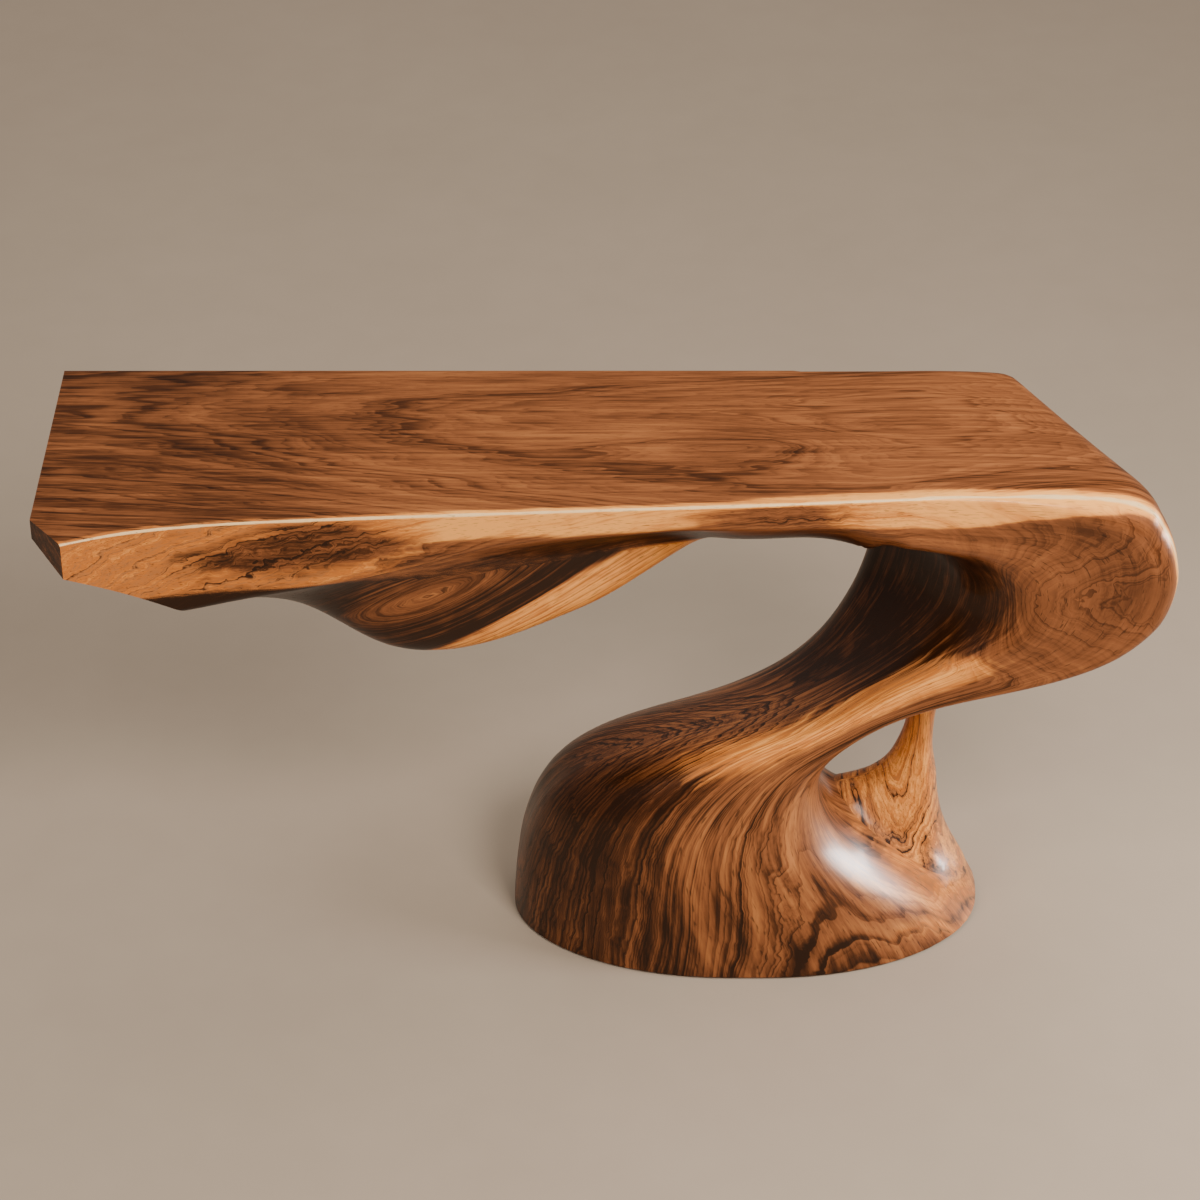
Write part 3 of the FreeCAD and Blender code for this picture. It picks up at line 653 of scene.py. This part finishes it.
def sawn(blank, name, cuts, materials):
    """The part of a blank that lies behind every cut, closed where it is sawn. A cut is a point, in
    modelling millimetres, and the direction of the waste."""
    bm = bmesh.new()
    bm.from_mesh(blank)
    for point, waste in cuts:
        whole = [*bm.verts, *bm.edges, *bm.faces]
        cut = bmesh.ops.bisect_plane(
            bm, geom=whole, plane_co=to_frame(point), plane_no=waste, clear_outer=True, dist=1e-6
        )
        rim = [part for part in cut["geom_cut"] if isinstance(part, bmesh.types.BMEdge)]
        close_rim(bm, [edge for edge in rim if edge.is_boundary], waste)
    close_rim(bm, [edge for edge in bm.edges if edge.is_boundary], (0, 0, -1))
    mesh = bpy.data.meshes.new(name)
    bm.to_mesh(mesh)
    bm.free()
    return finished(name, mesh, materials)


def finished(name, mesh, materials):
    """An object with its materials, smooth by its stored normals and flat where it is sawn."""
    for material in materials:
        mesh.materials.append(material)
    mesh.shade_smooth()
    soft = np.zeros(len(mesh.vertices) * 3, np.float32)
    mesh.attributes["soft"].data.foreach_get("vector", soft)
    soft = soft.reshape(-1, 3)
    corner_normals = np.zeros((len(mesh.loops), 3), np.float32)
    for face in mesh.polygons:
        corners = slice(face.loop_start, face.loop_start + face.loop_total)
        corner_normals[corners] = face.normal if face.material_index else soft[list(face.vertices)]
    mesh.normals_split_custom_set(corner_normals.tolist())
    mesh.attributes.remove(mesh.attributes["soft"])
    piece = bpy.data.objects.new(name, mesh)
    bpy.context.scene.collection.objects.link(piece)
    return piece


class Value:
    """A socket in a shader tree. Arithmetic on it adds Math nodes."""

    def __init__(self, shader, socket):
        self.shader = shader
        self.socket = socket

    def __add__(self, other):
        return self.shader.math("ADD", self, other)

    def __sub__(self, other):
        return self.shader.math("SUBTRACT", self, other)

    def __mul__(self, other):
        return self.shader.math("MULTIPLY", self, other)

    def swing(self, amount):
        """The value's swing about a half, times an amount."""
        return (self - 0.5) * amount


class Shader:
    """A material's node tree."""

    def __init__(self, name):
        self.material = bpy.data.materials.new(name)
        self.material.use_nodes = True
        self.tree = self.material.node_tree
        self.tree.nodes.clear()

    def node(self, kind, settings, inputs, output=0):
        """Adds a node: its type, its settings, and the values or links of its sockets."""
        node = self.tree.nodes.new(kind)
        for setting, value in settings.items():
            if setting == "stops":
                self.set_stops(node.color_ramp, value)
            else:
                setattr(node, setting, value)
        for socket, value in inputs.items():
            if isinstance(value, Value):
                self.tree.links.new(value.socket, node.inputs[socket])
            else:
                node.inputs[socket].default_value = value
        return Value(self, node.outputs[output]) if node.outputs else node

    @staticmethod
    def set_stops(ramp, stops):
        """Gives a colour ramp its stops, in order."""
        while len(ramp.elements) < len(stops):
            ramp.elements.new(1.0)
        for element, (place, colour) in zip(ramp.elements, stops):
            element.position = place
            element.color = (*colour, 1.0)

    def math(self, operation, first, second):
        return self.node("ShaderNodeMath", {"operation": operation}, {0: first, 1: second})

    def step(self, value, low, high):
        """0 below low and 1 above high, smooth between."""
        return self.node(
            "ShaderNodeMapRange", {"interpolation_type": "SMOOTHSTEP"},
            {"Value": value, "From Min": low, "From Max": high},
        )

    def attribute(self, name, output="Fac"):
        return self.node("ShaderNodeAttribute", {"attribute_name": name}, {}, output)

    def scaled(self, vector, scale):
        return self.node("ShaderNodeVectorMath", {"operation": "MULTIPLY"}, {0: vector, 1: scale})

    def noise(self, vector, detail=2.0, roughness=0.5, distortion=0.0):
        return self.node("ShaderNodeTexNoise", {}, {
            "Vector": vector, "Scale": 1.0, "Detail": detail, "Roughness": roughness,
            "Distortion": distortion,
        })

    def grained(self, grain, length, width, detail=2.0, roughness=0.5):
        """Noise drawn out along the grain, to a length and a width in millimetres."""
        return self.noise(self.scaled(grain, (1 / length, 1 / width, 1 / width)), detail, roughness)

    def stripes(self, place, detail):
        """Uneven stripes along one value."""
        return self.node(
            "ShaderNodeTexNoise", {"noise_dimensions": "1D"}, {"W": place, "Scale": 1.0, "Detail": detail}
        )

    def growth_rings(self, place):
        """Thin dark lines, one to each whole step of a value: each darkens slowly and ends sharply."""
        within = self.math("FRACT", place, 0)
        year = self.math("FLOOR", place, 0)
        strength = self.node("ShaderNodeTexWhiteNoise", {"noise_dimensions": "1D"}, {"W": year}, "Value")
        return self.step(within, 0.35, 0.93) * self.step(within, 1.0, 0.93) * strength

    def mix(self, share, first, second):
        """A colour between two colours."""
        return self.node("ShaderNodeMix", {"data_type": "RGBA"}, {0: share, 6: first, 7: second}, 2)

    def ramp(self, share, stops):
        return self.node("ShaderNodeValToRGB", {"stops": stops}, {0: share})

    def finish(self, bump, strength, distance, **inputs):
        """Adds the surface, with its bump, and returns the material. Underscores stand for spaces."""
        relief = {"Strength": strength, "Distance": distance, "Height": bump}
        normal = self.node("ShaderNodeBump", {}, relief)
        sockets = {name.replace("_", " "): value for name, value in inputs.items()}
        surface = self.node("ShaderNodeBsdfPrincipled", {}, {**sockets, "Normal": normal})
        self.node("ShaderNodeOutputMaterial", {}, {"Surface": surface})
        return self.material


DARK_HEART = (0.022, 0.007, 0.002)
DEEP_BROWN = (0.085, 0.025, 0.007)
WALNUT_BROWN = (0.255, 0.084, 0.027)
LIGHT_BROWN = (0.475, 0.176, 0.052)
SAPWOOD = (0.580, 0.170, 0.028)
PALE_SAP = (1.000, 0.430, 0.098)
# Colour of the line along the front edge: pale sapwood and a painted highlight on the rounded arris
EDGE_SAP_AND_HIGHLIGHT = (0.950, 0.620, 0.290)
BAND_WIDTH = 11.0
RING_WIDTH = 6.5
FINE_RING_WIDTH = 2.3


def make_walnut(name, sap_share=1.0, darker=0.0):
    """Oiled and lacquered heartwood with pale sap, its figure following the grain of the piece."""
    shader = Shader(name)
    grain = shader.attribute("grain", "Vector")
    burl = shader.attribute("burl")
    stripe = shader.attribute("stripe")
    place = shader.node("ShaderNodeTexCoord", {}, {}, "Object")
    drift = shader.grained(grain, 560, 62, 3.0)
    waver = shader.grained(grain, 120, 12)
    swirl = shader.noise(shader.scaled(place, (24.0, 24.0, 24.0)), 2.0, 0.5, 0.8)
    curl = shader.noise(shader.scaled(place, (70.0, 70.0, 70.0)), 2.0, 0.5, 0.6)
    # The tone attribute holds wood tone together with painted shade and a painted highlight in some
    # regions
    tone = shader.attribute("tone") * (swirl * 1.2 + 0.4) - darker
    knotted = burl * (swirl.swing(46) + curl.swing(16))
    ring = shader.attribute("ring") + drift.swing(40) + waver.swing(7) + knotted
    bands = shader.stripes(ring * (1 / BAND_WIDTH), 2.5)
    growth = shader.growth_rings(ring * (1 / RING_WIDTH))
    growth = growth + shader.growth_rings(ring * (1 / FINE_RING_WIDTH)) * 0.5
    lines = growth * (stripe * 0.6 - 0.24 + burl * 0.5)
    streaks = shader.grained(grain, 230, 8, 4.0, 0.62)
    strands = shader.grained(grain, 85, 3.2, 4.0, 0.65)
    fibres = shader.grained(grain, 45, 1.4, 3.0, 0.6)
    pores = shader.step(shader.grained(grain, 18, 1.1, 1.0), 0.62, 0.74)
    clouds = shader.grained(grain, 330, 110)
    fine = strands.swing(0.55) + fibres.swing(0.35)
    figure = bands.swing(0.6) + streaks.swing(0.95) + fine + 0.05
    shade = figure * stripe - lines + clouds.swing(0.5) + tone + 0.5
    heart = shader.ramp(shade, [
        (0.06, DARK_HEART), (0.28, DEEP_BROWN), (0.54, WALNUT_BROWN), (0.92, LIGHT_BROWN),
    ])
    wavy = bands.swing(0.6) + streaks.swing(0.4) + clouds.swing(0.5) + fine + 0.05
    pale = shader.ramp(wavy * stripe - lines + tone + 0.5, [
        (0.00, DARK_HEART), (0.14, DEEP_BROWN), (0.30, LIGHT_BROWN), (0.50, SAPWOOD), (0.90, PALE_SAP),
    ])
    mottle = bands.swing(0.45) + swirl.swing(0.3) + streaks.swing(0.3)
    sap_edge = shader.step(shader.attribute("sap") * sap_share + mottle, 0.26, 0.60)
    wood = shader.mix(sap_edge, heart, pale)
    # Painted highlight, with pale sapwood, along the rounded front edge, broken up by noise
    sap_and_highlight_edge = shader.attribute("edge") + swirl.swing(0.8) + streaks.swing(0.5)
    wood = shader.mix(shader.step(sap_and_highlight_edge, 0.42, 0.80), wood, (*EDGE_SAP_AND_HIGHLIGHT, 1.0))
    wood = shader.mix(pores * 0.6, wood, (*DARK_HEART, 1.0))
    rough = fibres.swing(0.16) + pores * 0.2 + clouds.swing(0.12) + 0.36
    relief = fibres * 0.6 - growth * 0.25 - pores * 0.8 + burl * swirl * 2
    return shader.finish(
        relief, 0.12, 0.0012,
        Base_Color=wood, Roughness=rough, Specular_IOR_Level=0.16, Coat_Weight=0.2, Coat_Roughness=0.17,
    )


def make_plain(name, dark, light, scale, roughness, metallic=0.0, bump=0.15, coat=0.0, specular=0.5):
    """A simple finish: two tones of a stretched grain, with roughness and bump to match."""
    shader = Shader(name)
    place = shader.scaled(shader.node("ShaderNodeTexCoord", {}, {}, "Object"), scale)
    grain = shader.noise(place, 4.0, 0.6)
    fine = shader.noise(shader.scaled(place, (7.0, 7.0, 7.0)), 2.0)
    colour = shader.ramp(grain * 0.7 + fine * 0.3, [(0.3, dark), (0.7, light)])
    return shader.finish(
        grain * 0.5 + fine * 0.5, bump, 0.0008,
        Base_Color=colour, Roughness=fine.swing(0.2) + roughness, Metallic=metallic, Coat_Weight=coat,
        Specular_IOR_Level=specular,
    )


def make_felt_pads(material, pad_radius):
    """A ring of felt discs under the foot."""
    low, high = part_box("floor_pads")
    size, middle = high - low, (high + low) / 2
    tree = bpy.data.node_groups.new("felt_pads", "GeometryNodeTree")
    sizes = {
        "Pads": ("NodeSocketInt", 6),
        "Pad radius": ("NodeSocketFloat", pad_radius),
        "Pad thickness": ("NodeSocketFloat", size.z),
        "Ring half length": ("NodeSocketFloat", size.x / 2 - pad_radius),
        "Ring half depth": ("NodeSocketFloat", (size.y / 2 - pad_radius) / math.sin(math.pi / 3)),
    }
    sockets = {}
    for label, (kind, _) in sizes.items():
        sockets[label] = tree.interface.new_socket(label, in_out="INPUT", socket_type=kind)
    tree.interface.new_socket("Geometry", in_out="OUTPUT", socket_type="NodeSocketGeometry")
    given = tree.nodes.new("NodeGroupInput")

    def add(kind, settings=(), **links):
        node = tree.nodes.new(kind)
        for setting, value in settings:
            setattr(node, setting, value)
        for socket, source in links.items():
            target = node.inputs[socket.replace("_", " ")]
            if isinstance(source, bpy.types.NodeSocket):
                tree.links.new(source, target)
            else:
                target.default_value = source
        return node

    ring = add("GeometryNodeMeshCircle", Vertices=given.outputs["Pads"], Radius=1.0)
    oval = add(
        "ShaderNodeCombineXYZ",
        X=given.outputs["Ring half length"], Y=given.outputs["Ring half depth"], Z=1.0,
    )
    seats = add(
        "GeometryNodeTransform", Geometry=ring.outputs[0], Scale=oval.outputs[0], Translation=middle
    )
    disc = add(
        "GeometryNodeMeshCylinder", Vertices=40,
        Radius=given.outputs["Pad radius"], Depth=given.outputs["Pad thickness"],
    )
    placed = add("GeometryNodeInstanceOnPoints", Points=seats.outputs[0], Instance=disc.outputs[0])
    solid = add("GeometryNodeRealizeInstances", Geometry=placed.outputs[0])
    felted = add("GeometryNodeSetMaterial", Geometry=solid.outputs[0], Material=material)
    out = tree.nodes.new("NodeGroupOutput")
    tree.links.new(felted.outputs[0], out.inputs[0])
    carrier = bpy.data.objects.new("felt_pad_ring", bpy.data.meshes.new("felt_pad_ring"))
    bpy.context.scene.collection.objects.link(carrier)
    modifier = carrier.modifiers.new("felt_pads", "NODES")
    modifier.node_group = tree
    for label, (_, value) in sizes.items():
        modifier[sockets[label].identifier] = value
    graph = bpy.context.evaluated_depsgraph_get()
    mesh = bpy.data.meshes.new_from_object(carrier.evaluated_get(graph))
    carrier.modifiers.clear()
    carrier.data = mesh
    return carrier


def branch_sections():
    """Rows of the slim strut between foot and arm, from its foot up."""
    rows = [*BRANCH_ROOT, *[(BRANCH_ARM_LEVEL - drop, *reach) for drop, *reach in BRANCH_HEAD]]
    height = np.arange(rows[0][0], rows[-1][0], BRANCH_ROW)
    left, right, half_depth = np.split(flowing(rows, height), 3, axis=1)
    turn = np.linspace(0, 2 * math.pi, BRANCH_COLUMNS, endpoint=False)
    across = np.where(np.cos(turn) > 0, right, left) * np.cos(turn)
    deep = half_depth * np.sin(turn)
    up = np.tile(height[:, None], (1, BRANCH_COLUMNS))
    return np.stack([BRANCH_AXIS + across, -BRANCH_SETBACK + deep, up], axis=2)


def make_branch(points, normals, material):
    """The strut, sawn off inside the arm and the foot."""
    across, deep, up = np.moveaxis(points - [BRANCH_AXIS, -BRANCH_SETBACK, 0], 2, 0)
    flat = np.zeros_like(up)
    out = np.hypot(across, deep)
    spread = np.arctan2(deep, across) * 26
    fields = {
        "grain": np.stack([up * 1.2, spread, out], axis=2),
        "ring": 0.55 * np.hypot(across * 1.3 + 40, deep) + 20 * near(up, 120, 60) * near(across, 20, 40),
        "sap": 0.2 + 0.4 * rising(up, 395, 330) - 0.2 * rising(out, 45, 100), "tone": flat + 0.1,
        "burl": 0.25 * rising(up, 220, 120), "stripe": flat + 1.2, "edge": flat,
    }
    mesh = grid_mesh("branch_strut_carved", points, normals, fields)
    foot, head = points[:, 0, 2].min() + BRANCH_ROW, points[:, 0, 2].max() - BRANCH_ROW
    cuts = [((0, 0, head), (0, 0, 1)), ((0, 0, foot), (0, 0, -1))]
    return sawn(mesh, "branch_strut_carved", cuts, [material, material])


def surface_tree(points):
    """A search tree over the faces of a looped grid."""
    rows, columns = points.shape[:2]
    index = np.arange(rows * columns).reshape(rows, columns)
    beside = np.roll(index, -1, axis=1)
    faces = np.stack([index[:-1], index[1:], beside[1:], beside[:-1]], axis=2).reshape(-1, 4)[:, ::-1]
    return BVHTree.FromPolygons(points.reshape(-1, 3).tolist(), faces.tolist())


def distance_to(tree, points):
    """Distance of each point from a surface, below 0 inside it."""
    reach = []
    for point in points.reshape(-1, 3):
        place, normal, _, distance = tree.find_nearest(Vector(point))
        reach.append(distance if (Vector(point) - place).dot(normal) > 0 else -distance)
    return np.array(reach).reshape(points.shape[:2])


def flared(points, tree, share):
    """Points swelled outwards where they run close to another surface, so that the two flow together."""
    nearness = np.clip((BLEND_REACH - np.maximum(distance_to(tree, points), 0)) / BLEND_REACH, 0, 1)
    swell = share * BLEND_SWELL * BLEND_REACH * nearness ** 2
    return points + soft_normals(points) * swell[..., None]


def shared_normals(points, other, other_normals):
    """Normals that turn towards another surface's where the two meet."""
    normals = soft_normals(points)
    places = other.reshape(-1, 3)
    turned = other_normals.reshape(-1, 3)
    nearest = KDTree(len(places))
    for i, place in enumerate(places):
        nearest.insert(place, i)
    nearest.balance()
    away = np.abs(distance_to(surface_tree(other), points))
    for row, column in np.argwhere(away < MEETING_WIDTH):
        share = 0.5 * (1 - away[row, column] / MEETING_WIDTH) ** 2
        _, i, _ = nearest.find(points[row, column])
        mixed = normals[row, column] * (1 - share) + turned[i] * share
        normals[row, column] = mixed / np.linalg.norm(mixed)
    return normals


def make_blocks(walnut, end_grain):
    """Top, keel, scroll, arm and foot, sawn from one flowing form, and the branch that flows into it."""
    slab_loops, slab_along = slab_sections()
    ribbon_loops, ribbon_along = ribbon_sections()
    loops = np.concatenate([slab_loops, ribbon_loops])
    root = len(slab_loops)
    a = np.concatenate([slab_along, ribbon_along])
    points = loops[..., :3]
    fields = wood_fields(points, a, loops[..., 3], loops[..., 4])
    leg = slice(root + int(LEG_START / RIBBON_ROW), None)
    branch = branch_sections()
    branch_tree, leg_tree = surface_tree(branch), surface_tree(points[leg])
    points[leg] = flared(points[leg], branch_tree, rising(loops[leg, :, 4], 55, 15))
    points[leg, :, 2] = np.maximum(points[leg, :, 2], PAD_PROUD)
    branch = flared(branch, leg_tree, np.ones(branch.shape[:2]))
    normals = soft_normals(points)
    branch_normals = soft_normals(branch)
    shared_branch = shared_normals(branch, points[leg], normals[leg])
    normals[leg] = shared_normals(points[leg], branch, branch_normals)

    def blank(name, rows):
        row_fields = {field: values[rows] for field, values in fields.items()}
        return grid_mesh(name, points[rows], normals[rows], row_fields)

    whole = blank("whole_form", slice(None))
    free_half = blank("free_half", slice(None, root + 1))
    ribbon = blank("ribbon", slice(root, None))
    slope = Vector((CHIN_INSET, 0, TIP_THICKNESS - CHIN_DROP)).normalized()
    tip = (0, 0, TOP_HEIGHT - TIP_THICKNESS)
    undercut = (tip, Vector((slope.z, 0, -slope.x)))
    free_end = ((0, 0, 0), Vector((-1, 0, 0)))
    corner_point = (CORNER_CUT_LENGTH, -TOP_DEPTH_CORNER, 0)
    corner = (corner_point, Vector((-CORNER_CUT_DEPTH, -CORNER_CUT_LENGTH, 0)).normalized())
    joint = (0, 0, JOINT_LEVEL)
    arm_joint = (SCROLL_AXIS, 0, TOP_HEIGHT - ARM_JOINT_DROP)
    arm_side = Vector((math.sin(ARM_JOINT_SLOPE), 0, math.cos(ARM_JOINT_SLOPE)))
    foot_joint = (0, 0, FOOT_JOINT)
    sole = (0, 0, PAD_PROUD + PLUG_PROUD)
    up, down = Vector((0, 0, 1)), Vector((0, 0, -1))
    woods = [walnut, end_grain]
    return {
        "top_slab": sawn(whole, "top_slab_carved", [free_end, undercut, corner, (joint, down)], woods),
        "keel_block": sawn(free_half, "keel_block_carved", [free_end, undercut, (joint, up)], woods),
        "scroll_block": sawn(ribbon, "scroll_block_carved", [(joint, up), (arm_joint, -arm_side)], woods),
        "arm_block": sawn(ribbon, "arm_block_carved", [(arm_joint, arm_side), (foot_joint, down)], woods),
        "foot_block": sawn(ribbon, "foot_block_carved", [(foot_joint, up), (sole, down)], woods),
        "branch_strut": make_branch(branch, shared_branch, walnut),
    }


def make_floor():
    """A wide pale floor."""
    bpy.ops.mesh.primitive_plane_add(size=14.0)
    floor = bpy.context.object
    floor.name = "pale_floor"
    plaster = make_plain(
        "pale_plaster", (0.43, 0.340, 0.258), (0.46, 0.365, 0.278), (2, 2, 2), 0.8,
        bump=0.02, specular=0.05,
    )
    floor.data.materials.append(plaster)


def add_softbox(name, place, aim, size, power, colour=(1, 1, 1)):
    """A square area light at a place, turned to its aim."""
    light = bpy.data.lights.new(name, "AREA")
    light.size = size
    light.energy = power
    light.color = colour
    softbox = bpy.data.objects.new(name, light)
    softbox.location = place
    softbox.rotation_euler = (Vector(aim) - Vector(place)).to_track_quat("-Z", "Y").to_euler()
    bpy.context.scene.collection.objects.link(softbox)
    return softbox


def light_the_studio():
    """A key near the viewer's right shoulder, a fill from the left, a sky over the wall's side, and two
    at the right: a strip that only gleams, and a side light that only brightens."""
    world = bpy.data.worlds.new("studio")
    world.use_nodes = True
    backdrop = world.node_tree.nodes["Background"]
    backdrop.inputs["Color"].default_value = (0.95, 0.90, 0.85, 1.0)
    backdrop.inputs["Strength"].default_value = 0.20
    bpy.context.scene.world = world
    add_softbox("key", (1.3, -2.3, 3.0), (0.1, 0.0, 0.5), 1.2, 105, (1.0, 0.93, 0.85))
    fill = add_softbox("fill", (-2.4, -2.2, 2.6), (-0.2, 0.0, 0.6), 1.8, 48, (1.0, 0.95, 0.89))
    sky = add_softbox("sky", (0.0, 2.3, 4.6), (0.0, 1.2, 0.0), 4.5, 112, (1.0, 0.95, 0.89))
    fill.visible_glossy = False
    sky.visible_glossy = False
    strip = add_softbox("strip", (2.1, 0.5, 0.5), (0.42, -0.08, 0.06), 1.6, 18)
    strip.data.shape = "RECTANGLE"
    strip.data.size_y = 0.45
    strip.data.spread = math.radians(46)
    strip.visible_diffuse = False
    side = add_softbox("side", (2.1, -0.5, 1.55), (0.25, -0.15, 0.15), 0.8, 40)
    side.visible_glossy = False


def place_camera():
    """The photograph's viewpoint: in front, looking down."""
    camera = bpy.data.cameras.new("camera")
    camera.lens = 108
    camera.sensor_width = 36
    viewer = bpy.data.objects.new("camera", camera)
    viewer.location = to_frame(CAMERA_PLACE)
    viewer.rotation_euler = (CAMERA_TILT, 0, 0)
    bpy.context.scene.collection.objects.link(viewer)
    bpy.context.scene.camera = viewer


walnut = make_walnut("lacquered_walnut")
end_grain = make_walnut("sawn_walnut", sap_share=0.2, darker=0.25)
beech = make_plain("beech", (0.50, 0.30, 0.16), (0.66, 0.44, 0.26), (60, 60, 12), 0.55)
plug_walnut = make_plain(
    "plug_walnut", (0.10, 0.035, 0.012), (0.27, 0.11, 0.045), (30, 120, 120), 0.4, coat=0.3
)
steel = make_plain("zinc_plated_steel", (0.42, 0.42, 0.42), (0.62, 0.62, 0.60), (80, 80, 20), 0.35, 1.0)
brass = make_plain("brass", (0.60, 0.40, 0.14), (0.80, 0.58, 0.25), (90, 90, 90), 0.3, 1.0)
felt = make_plain(
    "brown_felt", (0.035, 0.024, 0.018), (0.070, 0.050, 0.038), (400, 400, 400), 0.95, bump=0.5
)

blocks = make_blocks(walnut, end_grain)
for node, block in blocks.items():
    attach(block, "root")
    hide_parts(node)
pads = make_felt_pads(felt, PAD_RADIUS * MM)
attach(pads, "root")
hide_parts("floor_pads")

finishes = {"tenon": beech, "dowel": beech, "plugs": plug_walnut, "inserts": brass}
for name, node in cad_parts.items():
    if name in blocks or name == "floor_pads":
        continue
    finish = next((material for word, material in finishes.items() if word in name), steel)
    for slot in node.material_slots:
        slot.material = finish

make_floor()
light_the_studio()
place_camera()
